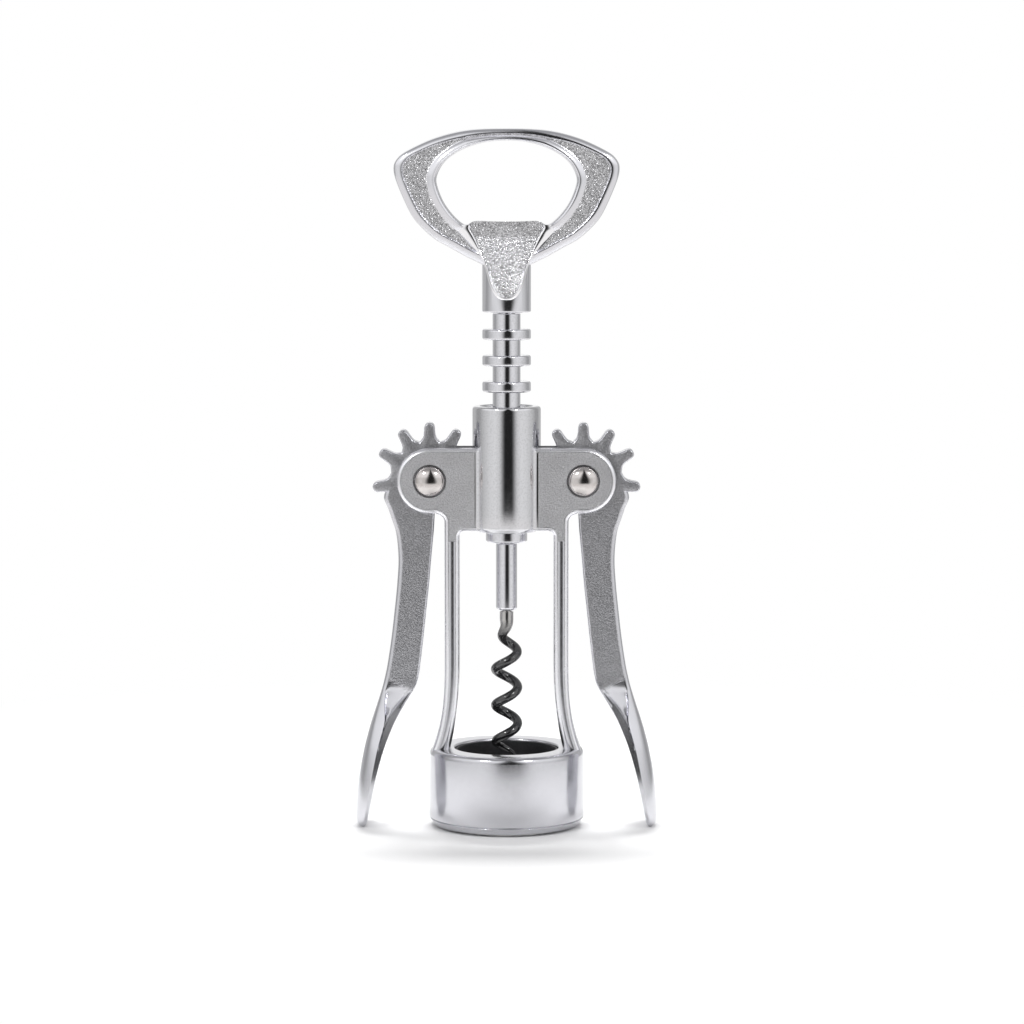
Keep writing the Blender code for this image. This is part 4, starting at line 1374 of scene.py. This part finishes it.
@dataclass
class Handle(SubAssembly):
    """Opener handle: ridged head, sloped tongue, neck and collar."""

    half_width: float = 0.0282
    half_depth: float = 0.0032
    height: float = 0.0347
    shoulder: float = 0.1406
    hole_centre: float = 0.1616
    hole_half_width: float = 0.0176
    hole_rise: float = 0.0107
    hole_drop: float = 0.01015
    outer_ridge: float = 0.0025
    inner_ridge: float = 0.0024
    panel_depth: float = 0.0007
    collar_foot: float = 0.1296
    collar: float = 0.0061
    neck_top: float = 0.1487
    tongue_tip: float = 0.1330
    slope: float = math.tan(math.radians(13.0))
    socket: float = 0.0023
    socket_top: float = 0.1381
    columns: int = 300
    rim_wall: float = 0.26
    rim_crown: float = 0.84
    rim_corner: float = 0.86
    edge_wall: float = 0.24
    tooth_wall: float = 0.05
    edge_crown: float = 0.36
    edge_corner: float = 0.93
    tooth_half: float = 0.0086
    tongue_root: float = 0.0092
    tongue_rows: tuple[Flat, ...] = (
        (0.1487, 0.0079), (0.1456, 0.0066), (0.1437, 0.0058), (0.1419, 0.0051), (0.1400, 0.0043),
    )
    ridge_rows: tuple[tuple[float, ...], ...] = (
        (0.00900, 0.15125, 0.01240, 0.15150, 0.00330, 0.0024), (0.00915, 0.15050, 0.01240, 0.15010, 0.00335, 0.0024),
        (0.00800, 0.14840, 0.01090, 0.14820, 0.00335, 0.0024), (0.00670, 0.14560, 0.00880, 0.14580, 0.00350, 0.0024),
        (0.00590, 0.14370, 0.00690, 0.14390, 0.00390, 0.0027), (0.00520, 0.14190, 0.00585, 0.14220, 0.00430, 0.0031),
        (0.00455, 0.14040, 0.00530, 0.14040, 0.00460, 0.0030), (0.00350, 0.13710, 0.00440, 0.13690, 0.00520, 0.0041),
        (0.00225, 0.13470, 0.00310, 0.13410, 0.00600, 0.0051), (0.00110, 0.13360, 0.00160, 0.13280, 0.00620, 0.0057),
        (0.00000, 0.13325, 0.00000, 0.13240, 0.00620, 0.0058),
    )
    ridge_loop: tuple[Flat, ...] = (
        (0.0, -0.8), (0.0, 0.55), (0.03, 0.84), (0.10, 0.98), (0.18, 1.0), (0.34, 0.95), (0.52, 0.80),
        (0.70, 0.58), (0.85, 0.32), (0.95, 0.10), (1.0, -0.10), (1.0, -0.8),
    )
    outline: tuple[Flat, ...] = (
        (0.000, 1.000), (0.350, 0.988), (0.633, 0.932), (0.879, 0.840), (0.970, 0.780),
        (0.999, 0.712), (0.968, 0.604), (0.854, 0.396), (0.759, 0.294), (0.635, 0.205),
        (0.503, 0.145), (0.367, 0.083), (0.283, 0.050), (0.150, 0.000), (0.000, -0.020),
    )
    opening: tuple[Flat, ...] = (
        (0.000, 1.000), (0.311, 0.960), (0.603, 0.807), (0.803, 0.615), (0.920, 0.413),
        (0.997, 0.130), (0.980, -0.066), (0.900, -0.430), (0.775, -0.735), (0.645, -0.950),
        (0.582, -1.000), (0.535, -0.990), (0.455, -0.900), (0.230, -0.920), (0.000, -0.925),
    )

    @staticmethod
    def loop(half: Sequence[Flat]) -> list[Flat]:
        """Mirror a half outline into a closed clockwise loop."""
        return list(half) + [(-x, z) for x, z in reversed(half[1:-1])]

    def reach(self, loop: Sequence[Flat], angle: float) -> float:
        """Find how far a ray from the opening's centre goes to a loop.

        Args:
            loop: a closed outline round that centre.
            angle: the ray's turn from straight up, in radians.

        Returns:
            The distance.
        """
        dx, dz = math.sin(angle), math.cos(angle)
        best = 0.0
        for (x0, z0), (x1, z1) in zip(loop, loop[1:] + loop[:1]):
            az, ex, ez = z0 - self.hole_centre, x1 - x0, z1 - z0
            cross = dx * ez - dz * ex
            if cross != 0.0:
                along = (x0 * ez - az * ex) / cross
                part = (x0 * dz - az * dx) / cross
                if -1e-9 <= part <= 1.0 + 1e-9 and along > best:
                    best = along
        return best

    def section(self, far: float, near: float, sharp: bool) -> list[Flat]:
        """Draw the head's section as (reach, depth) from its rim to its opening and back.

        Args:
            far: distance of the rim from the opening's centre.
            near: distance of the opening's edge.
            sharp: whether the opening's edge is the sharp one of the tooth.

        Returns:
            The section's points, with depths as shares of the half depth.
        """
        room = (far - near) * 0.47
        outer, inner = min(self.outer_ridge, room), min(self.inner_ridge, room)
        floor = 1.0 - self.panel_depth / self.half_depth
        wall, crown, corner = self.rim_wall * outer, self.rim_crown * outer, self.rim_corner
        parts = [step / 6 for step in range(1, 7)]
        front = [(far - wall * (1.0 - math.cos(turn)), corner * math.sin(turn)) for turn in QUARTER]
        for part in parts:
            front.append((far - blend(wall, crown, part), blend(corner, 1.0, 1.0 - (1.0 - part) ** 1.8)))
        front.append((far - blend(crown, outer, 0.5), blend(1.0, floor, 0.6)))
        front += [(blend(far - outer, near + inner, step / 8), floor) for step in range(9)]
        wall, crown = (self.tooth_wall if sharp else self.edge_wall) * inner, self.edge_crown * inner
        for part in parts:
            front.append((near + blend(inner, crown, part), blend(floor, 1.0, 1.0 - (1.0 - part) ** 1.6)))
        for turn in reversed(QUARTER):
            front.append((near + wall * (1.0 - math.cos(turn)), self.edge_corner * math.sin(turn)))
        return front + [(reach, -depth) for reach, depth in reversed(front[1:-1])]

    def head(self) -> Shape:
        """Skin the head as a ring between its outline and its opening.

        Returns:
            A closed ring.
        """
        outer = self.loop([(x * self.half_width, self.shoulder + z * self.height) for x, z in self.outline])
        outer = spline(outer, 12, closed=True)
        hole = self.loop([
            (x * self.hole_half_width, self.hole_centre + z * (self.hole_rise if z > 0.0 else self.hole_drop))
            for x, z in self.opening
        ])
        for _ in range(3):
            hole = [
                (blend(a[0], b[0], share), blend(a[1], b[1], share))
                for a, b in zip(hole, hole[1:] + hole[:1]) for share in (0.25, 0.75)
            ]
        sections = []
        for step in range(self.columns):
            angle = 2 * math.pi * step / self.columns
            far, near = self.reach(outer, angle), self.reach(hole, angle)
            tooth = math.cos(angle) < 0.0 and abs(near * math.sin(angle)) < self.tooth_half
            sections.append([
                (reach * math.sin(angle), -depth * self.half_depth, self.hole_centre + reach * math.cos(angle))
                for reach, depth in self.section(far, near, tooth)
            ])
        return Shape.lofted(sections, ring=True)

    def neck(self) -> Shape:
        """Turn the round neck and collar.

        Returns:
            The turned shape.
        """
        profile = rounded([
            (0.0, self.collar_foot, 0.0), (self.collar, self.collar_foot, 0.0005),
            (self.collar, self.neck_top, 0.0), (0.0, self.neck_top, 0.0),
        ], 5)
        return Shape.turned(profile, 128)

    def casting(self) -> Piece:
        """Join head and neck, and cut slopes, tongue and socket.

        Returns:
            The finished object.
        """
        run_top, wide = self.neck_top + OVERSHOOT, self.collar + OVERSHOOT
        drop = (run_top - self.tongue_tip) * self.slope
        slopes = []
        for direction in (-1, 1):
            side = [
                (direction * self.collar, self.tongue_tip), (direction * (self.collar - drop), run_top),
                (direction * wide, run_top), (direction * wide, self.tongue_tip),
            ]
            slopes.append(Shape.lofted([[(x, y, z) for y, z in side] for x in (-wide, wide)]))
        wedge = []
        for height, half in self.tongue_rows:
            deep = self.collar - (height - self.tongue_tip) * self.slope + HAIR
            wedge.append([(-half, -deep, height), (half, -deep, height), (half, deep, height), (-half, deep, height)])
        steps = [(Cut.AWAY, slope) for slope in slopes] + [(Cut.JOIN, Shape.lofted(wedge))]
        steps = [(Cut.JOIN, worked("neck", self.neck(), steps))]
        tooth, floor = self.hole_centre - self.hole_drop, self.half_depth - self.panel_depth - HAIR
        (foot, half), root = self.tongue_rows[0], self.tongue_root
        tongue = [
            (-root, tooth + OVERSHOOT), (root, tooth + OVERSHOOT), (root, tooth),
            (half, foot - PLAY), (-half, foot - PLAY), (-root, tooth),
        ]
        for direction in (-1, 1):
            ends = (direction * floor, direction * (self.half_depth + OVERSHOOT))
            steps.append((Cut.AWAY, Shape.lofted([[(x, y, z) for x, z in tongue] for y in ends])))
        ends = (self.collar_foot - OVERSHOOT, self.socket_top)
        steps.append((Cut.AWAY, Shape.tube((0.0, self.socket), ends, BORE_SIDES)))
        opener = smoothed(worked("opener", self.head(), steps), math.radians(38.0))
        return marked(opener, "grain", self.grain_at, by_face=True)

    def grain_at(self, point: Vector, normal: Vector) -> float:
        """Tell whether a face is grained: panels and tongue are, ridges and collar aren't.

        Args:
            point: a point of the piece, or the middle of a face.
            normal: the normal there.

        Returns:
            1 where it is grained, and otherwise 0.
        """
        floor, lean, slack = self.half_depth - self.panel_depth, math.sin(math.atan(self.slope)), 0.004
        flat = abs(normal.y) > 0.9995 and abs(abs(point.y) - floor) < 0.00012
        sloped = abs(normal.z - lean) < slack and abs(normal.x) < slack
        return float(flat or sloped and point.z < self.neck_top + OVERSHOOT)

    def ridges(self) -> Piece:
        """Run a tapering ridge round the tongue, in front and at the back.

        Returns:
            The finished object.
        """
        half = spline(self.ridge_rows, 6)
        rows = half + [(-row[0], row[1], -row[2], *row[3:]) for row in reversed(half[:-1])]
        sections = [
            [
                (blend(x_in, x_out, share), blend(y_out, y_in, rise), blend(z_in, z_out, share))
                for share, rise in self.ridge_loop
            ]
            for x_in, z_in, x_out, z_out, y_in, y_out in rows
        ]
        return smoothed(Shape.mirrored(sections, across=(1,)).made("tongue_ridges"), math.radians(60.0))

    def build(self, cast: Material, smooth: Material) -> None:
        """Make and dress the handle and its ridges."""
        self.keep(self.casting(), "cast_chrome", cast, ["handle"])
        self.keep(self.ridges(), "cast_chrome", smooth)


@dataclass
class Lever(SubAssembly):
    """Lever: toothed head, flat arm and thumb paddle turned edge-on."""

    side: Side = Side.LEFT
    root: float = 0.01005
    tip: float = 0.0144
    hub: float = 0.0080
    half: float = 0.0025
    pin_hole: float = 0.0023
    teeth: int = 7
    tooth_angle: float = 30.0
    tooth_half: float = 0.00135
    flank: tuple[Flat, ...] = (
        (0.06, 1.36), (0.14, 1.21), (0.28, 1.08), (0.50, 1.00), (0.72, 0.96), (0.84, 0.86),
        (0.92, 0.70), (0.97, 0.48), (1.00, 0.16),
    )
    drop: float = 0.0876
    reach: float = 0.0186
    outer_bevel: float = 0.0011
    inner_bevel: float = 0.0005
    paddle: float = 0.0080
    scoop: float = 0.0011
    scoop_from: float = 0.574
    stations: int = 150
    edge_limit: float = 0.33
    turn_from: float = 0.572
    turn_over: float = 0.130
    crest_from: float = 0.575
    crest_over: float = 0.150
    crest_shift: float = 0.80
    scoop_end: float = 0.722
    scoop_close: float = 0.046
    first_tooth: float = 89.7
    lag: float = 7.0
    hub_gaps: Flat = (23.8, 15.2)
    root_half: float = 0.0021
    valley: float = 0.00023
    grain_side: float = 0.0230
    grain_end: float = 0.0342
    grain_slant: float = 0.54
    grain_over: float = 0.0012
    dish_top: float = 0.0380
    dish_sink: float = 0.0006
    scoop_rows: tuple[Flat, ...] = (
        (0.0, 0.0), (0.05, 0.5), (0.12, 0.9), (0.35, 1.0), (0.60, 1.0), (0.84, 1.0), (0.95, 0.6), (1.0, 0.0),
    )
    table: tuple[tuple[float, ...], ...] = (
        (0.0166, -0.571, 0.070, 0.000, 0.16, 0.93),
        (0.0499, -0.620, 0.070, 0.000, 0.16, 0.93),
        (0.0801, -0.565, 0.066, 0.000, 0.16, 0.93),
        (0.1113, -0.516, 0.060, 0.000, 0.16, 0.93),
        (0.1508, -0.458, 0.048, 0.000, 0.16, 0.93),
        (0.2236, -0.426, 0.016, 0.000, 0.16, 0.93),
        (0.2974, -0.444, -0.014, 0.000, 0.16, 0.93),
        (0.3796, -0.483, -0.055, 0.000, 0.16, 0.93),
        (0.4607, -0.528, -0.096, 0.000, 0.16, 0.93),
        (0.5356, -0.582, -0.138, 0.000, 0.16, 0.93),
        (0.5668, -0.613, -0.160, 0.000, 0.16, 0.93),
        (0.5928, -0.643, -0.198, 0.025, 0.17, 0.92),
        (0.6427, -0.716, -0.335, 0.185, 0.33, 0.92),
        (0.6926, -0.794, -0.461, 0.447, 0.54, 0.94),
        (0.7373, -0.855, -0.555, 0.665, 0.62, 0.95),
        (0.7748, -0.899, -0.622, 0.811, 0.66, 0.96),
        (0.8382, -0.957, -0.709, 0.964, 0.73, 0.96),
        (0.8881, -0.985, -0.764, 1.000, 0.76, 0.96),
        (0.9440, -0.999, -0.818, 0.945, 0.74, 0.95),
        (0.9720, -1.002, -0.843, 0.770, 0.70, 0.94),
        (0.9890, -0.993, -0.862, 0.510, 0.66, 0.92),
        (1.0000, -0.958, -0.890, 0.156, 0.60, 0.88),
    )

    def read(self, share: float) -> list[float]:
        """Read the arm's table at a share of its drop, by cubic steps.

        Args:
            share: how far down the arm, from 0 at the axle to 1 at the tip.

        Returns:
            The table's columns after the first, at that share.
        """
        table = self.table
        index = 0
        while index < len(table) - 2 and table[index + 1][0] < share:
            index += 1
        before, start = table[max(index - 1, 0)], table[index]
        end, after = table[index + 1], table[min(index + 2, len(table) - 1)]
        span = end[0] - start[0]
        part = (share - start[0]) / span
        row = []
        for column in range(1, len(start)):
            slope_in = (end[column] - before[column]) / (end[0] - before[0])
            slope_out = (after[column] - start[column]) / (after[0] - start[0])
            square, cube = part ** 2, part ** 3
            value = (2 * cube - 3 * square + 1) * start[column] + (cube - 2 * square + part) * span * slope_in
            row.append(value + (3 * square - 2 * cube) * end[column] + (cube - square) * span * slope_out)
        return row

    def section(self, share: float) -> list[Place]:
        """Draw the arm's level section at a share of its drop.

        Args:
            share: how far down the arm, from 0 at the axle to 1 at the tip.

        Returns:
            The section's points about the axle.
        """
        outer, inner, depth, edge_outer, edge_inner = self.read(share)
        left, right = outer * self.reach, inner * self.reach
        width = right - left
        deep = blend(self.half, self.paddle, depth)
        morph = ramp(share, self.turn_from, self.turn_over)
        limit = width * self.edge_limit
        outer_bevel, inner_bevel = min(self.outer_bevel, limit), min(self.inner_bevel, limit)
        outer_edge = self.edge(deep, outer_bevel, edge_outer * width, morph)
        inner_edge = self.edge(deep, inner_bevel, (1.0 - edge_inner) * width, morph)
        face_left = left + blend(outer_bevel, edge_outer * width, morph)
        face_right = blend(right - inner_bevel, left + edge_inner * width, morph)
        shift = self.crest_shift * ramp(share, self.crest_from, self.crest_over)
        crest = blend(face_left, face_right, blend(1.0, 1.0 - shift, morph))
        floor = deep - self.half + self.scoop * ramp(share, self.scoop_from, 0.12)
        closing = 1.0 - ramp(share, self.scoop_end, self.scoop_close)
        hollow = max(floor, 0.0) * closing * ramp(share, self.scoop_from, 0.05)
        front = [(left + across, -y) for across, y in outer_edge]
        front += [(blend(face_left, crest, part), sunk * hollow - deep) for part, sunk in self.scoop_rows]
        front += [(blend(crest, face_right, part), -deep) for part in (0.5, 1.0)]
        front += [(right - across, -y) for across, y in reversed(inner_edge)]
        back = [(x, -y) for x, y in reversed(front[1:-1])]
        return [(x, y, -share * self.drop) for x, y in front + back]

    @staticmethod
    def edge(deep: float, bevel: float, round_in: float, morph: float) -> list[Flat]:
        """Draw an edge of the arm from its middle plane to its face.

        Args:
            deep: the face's depth.
            bevel: radius of the flat arm's rounded edge.
            round_in: how far in the paddle's edge is rounded.
            morph: how far the arm has turned into the paddle.

        Returns:
            Points as (in from the side, depth).
        """
        points = []
        for step in range(9):
            turn = step / 9
            plate = (0.0, turn / 0.45 * (deep - bevel))
            if turn >= 0.45:
                angle = math.radians(90.0) * (turn - 0.45) / 0.55
                plate = (bevel * (1.0 - math.cos(angle)), deep - bevel * (1.0 - math.sin(angle)))
            flank = math.sin(math.radians(90.0) * turn)
            points.append((blend(plate[0], round_in * flank ** 4, morph), blend(plate[1], flank * deep, morph)))
        return points

    def gear(self) -> list[Flat]:
        """Draw the toothed head about its axle, clockwise from below the last tooth.

        Returns:
            The outline.
        """
        flank = [(self.root, -self.root_half)]
        for rise, part in self.flank:
            flank.append((blend(self.root, self.tip, rise), -self.tooth_half * part))
        flank += [(radius, -width) for radius, width in reversed(flank)]
        first = self.first_tooth - (self.teeth - 1) * self.tooth_angle
        points: list[Flat] = []
        for tooth in range(self.teeth):
            middle = math.radians(first + tooth * self.tooth_angle - (self.lag if tooth == 0 else 0.0))
            sine, cosine = math.sin(middle), math.cos(middle)
            points += [(radius * sine + width * cosine, radius * cosine - width * sine) for radius, width in flank]
            if tooth < self.teeth - 1:
                valley = (middle + math.radians(first + (tooth + 1) * self.tooth_angle)) / 2
                deep = self.root - self.valley
                points.append((deep * math.sin(valley), deep * math.cos(valley)))
        start = self.first_tooth + self.hub_gaps[0]
        return points + arc((0.0, 0.0), self.hub, start, first - self.lag + 360.0 - self.hub_gaps[1], 40)

    def casting(self) -> Piece:
        """Join head and arm, and bore the axle's hole.

        Returns:
            The finished object.
        """
        where = (self.side.axle, self.side is Side.RIGHT)
        edge = [(0.0, 0.00034), (0.00005, 0.00017), (0.00017, 0.00005), (0.00034, 0.0)]
        head = Shape.plate(self.gear(), edge, self.half)
        first, last = self.table[0][0], self.table[-1][0]
        shares = [1.0 - (1.0 - step / self.stations) ** 1.3 for step in range(self.stations + 1)]
        arm = Shape.lofted([self.section(blend(first, last, share)) for share in shares])
        through = self.half + OVERSHOOT
        bore = Shape.tube((0.0, self.pin_hole), (-through, through), BORE_SIDES, Axis.DEPTH)
        steps = [(Cut.JOIN, arm.placed(*where)), (Cut.AWAY, bore.placed(*where))]
        piece = worked(f"{self.side.label}_wing", head.placed(*where), steps)
        return marked(smoothed(piece, math.radians(36.0)), "grain", self.grain_at)

    def grain_at(self, point: Vector, normal: Vector) -> float:
        """Tell how grained the lever is at a point: its flat faces are, down to the scoop's slanting start.

        Args:
            point: a point of the piece, or the middle of a face.
            normal: the normal there.

        Returns:
            A number from 0 to 1.
        """
        level, inward = abs(point.y), abs(point.x) - self.grain_side
        flat = abs(level - self.half) < 2 * HAIR
        dished = point.z < self.dish_top and level > self.half - self.dish_sink and abs(normal.y) > 0.93
        above = point.z - self.grain_end - self.grain_slant * inward
        return min(max(above / self.grain_over + 0.5, 0.0), 1.0) if flat or dished else 0.0

    def build(self, cast: Material) -> None:
        """Make and dress the lever."""
        self.keep(self.casting(), "cast_chrome", cast, [f"{self.side.label}_lever"])


@dataclass
class Studio:
    """Camera, floor, lamps and world of the photograph."""

    eye: Place = (0.001375, -0.900, 0.16494)
    tilt: float = 5.4268
    lens: float = 126.56
    floor_half: float = 4.0
    fade: Flat = (0.10, 0.26)
    high: Colour = (1.10, 1.10, 1.11)
    zenith: Colour = (0.42, 0.42, 0.43)
    ground: Colour = (0.95, 0.935, 0.93)
    gap: Colour = (0.02, 0.02, 0.02)
    soft: Colour = (0.36, 0.36, 0.365)
    around: tuple[Flat, ...] = (
        (0.0, 0.74), (0.17, 0.80), (0.25, 0.92), (0.36, 0.86), (0.50, 0.66), (0.60, 0.44), (0.68, 0.42),
        (0.76, 0.60), (0.90, 0.55), (0.95, 1.0), (1.0, 1.0),
    )

    def camera(self) -> None:
        """Set the camera at the photograph's place."""
        data = bpy.data.cameras.new("camera")
        data.lens, data.sensor_width = self.lens, 36.0
        data.clip_start, data.clip_end = 0.01, 50.0
        camera = linked("camera", data)
        camera.location = self.eye
        camera.rotation_euler = (math.radians(90.0 - self.tilt), 0.0, 0.0)
        bpy.context.scene.camera = camera

    def floor(self) -> None:
        """Lay the pale floor."""
        half = self.floor_half
        corners = [(-half, -half, 0.0), (half, -half, 0.0), (half, half, 0.0), (-half, half, 0.0)]
        floor = Shape(corners, [[0, 1, 2, 3]]).made("floor")
        material = bpy.data.materials.new("floor_white")
        material.use_nodes = True
        graph = Graph(material.node_tree)
        where = graph.add("ShaderNodeTexCoord", output="Object")
        away = graph.add("ShaderNodeVectorMath", {"operation": "LENGTH"}, {0: where}, output="Value")
        paper = graph.add("ShaderNodeBsdfDiffuse", {}, {"Color": (0.96, 0.96, 0.96, 1.0)})
        white = graph.add("ShaderNodeEmission", {}, {"Color": (1.0, 1.0, 1.0, 1.0), "Strength": 1.0})
        clear = graph.add("ShaderNodeBsdfTransparent")
        glossy = graph.add("ShaderNodeLightPath", output="Is Glossy Ray")
        beyond = graph.add("ShaderNodeMixShader", {}, {0: glossy, 1: white, 2: clear})
        surface = graph.add("ShaderNodeMixShader", {}, {0: away.band(*self.fade), 1: paper, 2: beyond})
        graph.add("ShaderNodeOutputMaterial", {}, {"Surface": surface})
        floor.data.materials.append(material)

    def lamp(self, name: str, place: Place, aim: Place, size: Flat, power: float, shown: bool = False) -> None:
        """Hang a soft box that points at a place.

        Args:
            name: the lamp's name.
            place: where it hangs.
            aim: the place that it points at.
            size: its width and height.
            power: its power in watts.
            shown: whether metal and gloss mirror it.
        """
        data = bpy.data.lights.new(name, "AREA")
        data.shape = "RECTANGLE"
        data.size, data.size_y = size
        data.energy = power
        lamp = linked(name, data)
        lamp.location = place
        lamp.visible_glossy = shown
        lamp.rotation_euler = (Vector(aim) - Vector(place)).to_track_quat("-Z", "Y").to_euler()

    def world(self) -> None:
        """Make the world white to the camera, and a studio with darker sides to metal."""
        world = bpy.data.worlds.new("studio")
        bpy.context.scene.world = world
        world.use_nodes = True
        graph = Graph(world.node_tree)
        where = graph.add("ShaderNodeTexCoord", output="Generated")
        split = graph.tree.nodes.new("ShaderNodeSeparateXYZ")
        graph.tree.links.new(where.output, split.inputs[0])
        x, y, z = (Socket(graph, split.outputs[axis]) for axis in range(3))
        angle = (x.math("ARCTAN2", 0.0 - y) - 0.11).math("ABSOLUTE") / math.pi
        around = graph.add("ShaderNodeValToRGB", {"stops": self.around}, {0: angle})
        high = z.band(0.12, 0.36) * (1.0 - y.band(-0.2, 0.3))
        studio = graph.mixed(high, around, self.high)
        studio = graph.mixed(z.band(0.60, 0.90), studio, self.zenith)
        below = (0.0 - z).band(0.15, 0.30)
        studio = graph.mixed(below, studio, self.ground)
        narrowed = angle / (1.0 - z.math("MAXIMUM", 0.0) * 0.90).math("MAXIMUM", 0.10)
        opening = (1.0 - narrowed.band(0.055, 0.185)) * (1.0 - below)
        studio = graph.mixed(opening, studio, self.gap)
        rays = graph.tree.nodes.new("ShaderNodeLightPath")
        glossy = Socket(graph, rays.outputs["Is Glossy Ray"])
        camera = Socket(graph, rays.outputs["Is Camera Ray"])
        soft = graph.mixed(glossy, self.soft, studio)
        colour = graph.mixed(camera, soft, (1.0, 1.0, 1.0))
        shader = graph.add("ShaderNodeBackground", {}, {"Color": colour, "Strength": 1.0})
        graph.add("ShaderNodeOutputWorld", {}, {"Surface": shader})

    def build(self) -> None:
        """Set up the studio."""
        bpy.context.scene.view_settings.view_transform = "Standard"
        self.camera()
        self.floor()
        for side in Side:
            place = (side.value * 0.55, -0.55, 0.45)
            self.lamp(f"{side.label}_box", place, aim=(0.0, 0.0, 0.10), size=(0.28, 0.70), power=0.9)
        self.lamp("top_box", (0.0, 0.32, 0.76), aim=(0.0, 0.0, 0.03), size=(0.40, 0.14), power=5.3)
        for side in Side:
            place = (side.value * 0.36, -0.46, 0.55)
            self.lamp(f"{side.label}_spark", place, (0.0, 0.0, 0.08), (0.08, 0.08), power=0.9, shown=True)
        self.world()
        log.info("studio is set")


def main() -> None:
    """Build the corkscrew and its studio."""
    logging.basicConfig(level=logging.INFO, format="%(name)s: %(message)s")
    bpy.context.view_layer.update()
    coarse, lever, satin, smooth = (CastChrome(f"{name}_cast_chrome", *values).material() for name, *values in (
        # Name, grain, relief, face, edge, roughness of face and edge, speckle.
        ("coarse", 0.00044, 0.00021, (0.84, 0.84, 0.86), (0.72, 0.72, 0.75), 0.26, 0.13, 0.36),
        ("lever", 0.00040, 0.00012, (0.48, 0.48, 0.50), (0.64, 0.64, 0.67), 0.34, 0.22, 0.22),
        ("satin", 0.00038, 0.00011, (0.76, 0.76, 0.78), (0.86, 0.86, 0.89), 0.34, 0.26, 0.20),
        ("smooth", 0.00030, 0.00001, (0.92, 0.92, 0.94), (0.92, 0.92, 0.94), 0.16, 0.12, 0.1),
    ))
    barrel, bell, turned = (TurnedChrome(f"{name}_chrome", *values).material() for name, *values in (
        # Name, colour, roughness, height of the tool marks, colour left in the specks.
        ("barrel", (0.70, 0.70, 0.72), 0.085, 0.000006, 0.92),
        ("bell", (0.61, 0.61, 0.64), 0.18, 0.000002, 0.97),
        ("turned", (0.74, 0.74, 0.77), 0.09, 0.000004, 0.92),
    ))
    steel = MirrorSteel().material()
    coating = BlackCoating().material()
    plastic = DarkPlastic().material()
    Studio().build()
    Casting("frame").build(satin, barrel, bell)
    Guide("frame").build(plastic)
    for side in Side:
        Rivet("frame", side).build(steel)
        Lever(f"{side.label}_lever", side).build(lever)
    Rack("rack").build(turned)
    Spindle("spindle").build(turned, coating)
    Handle("spindle").build(coarse, smooth)


if __name__ == "__main__":
    main()
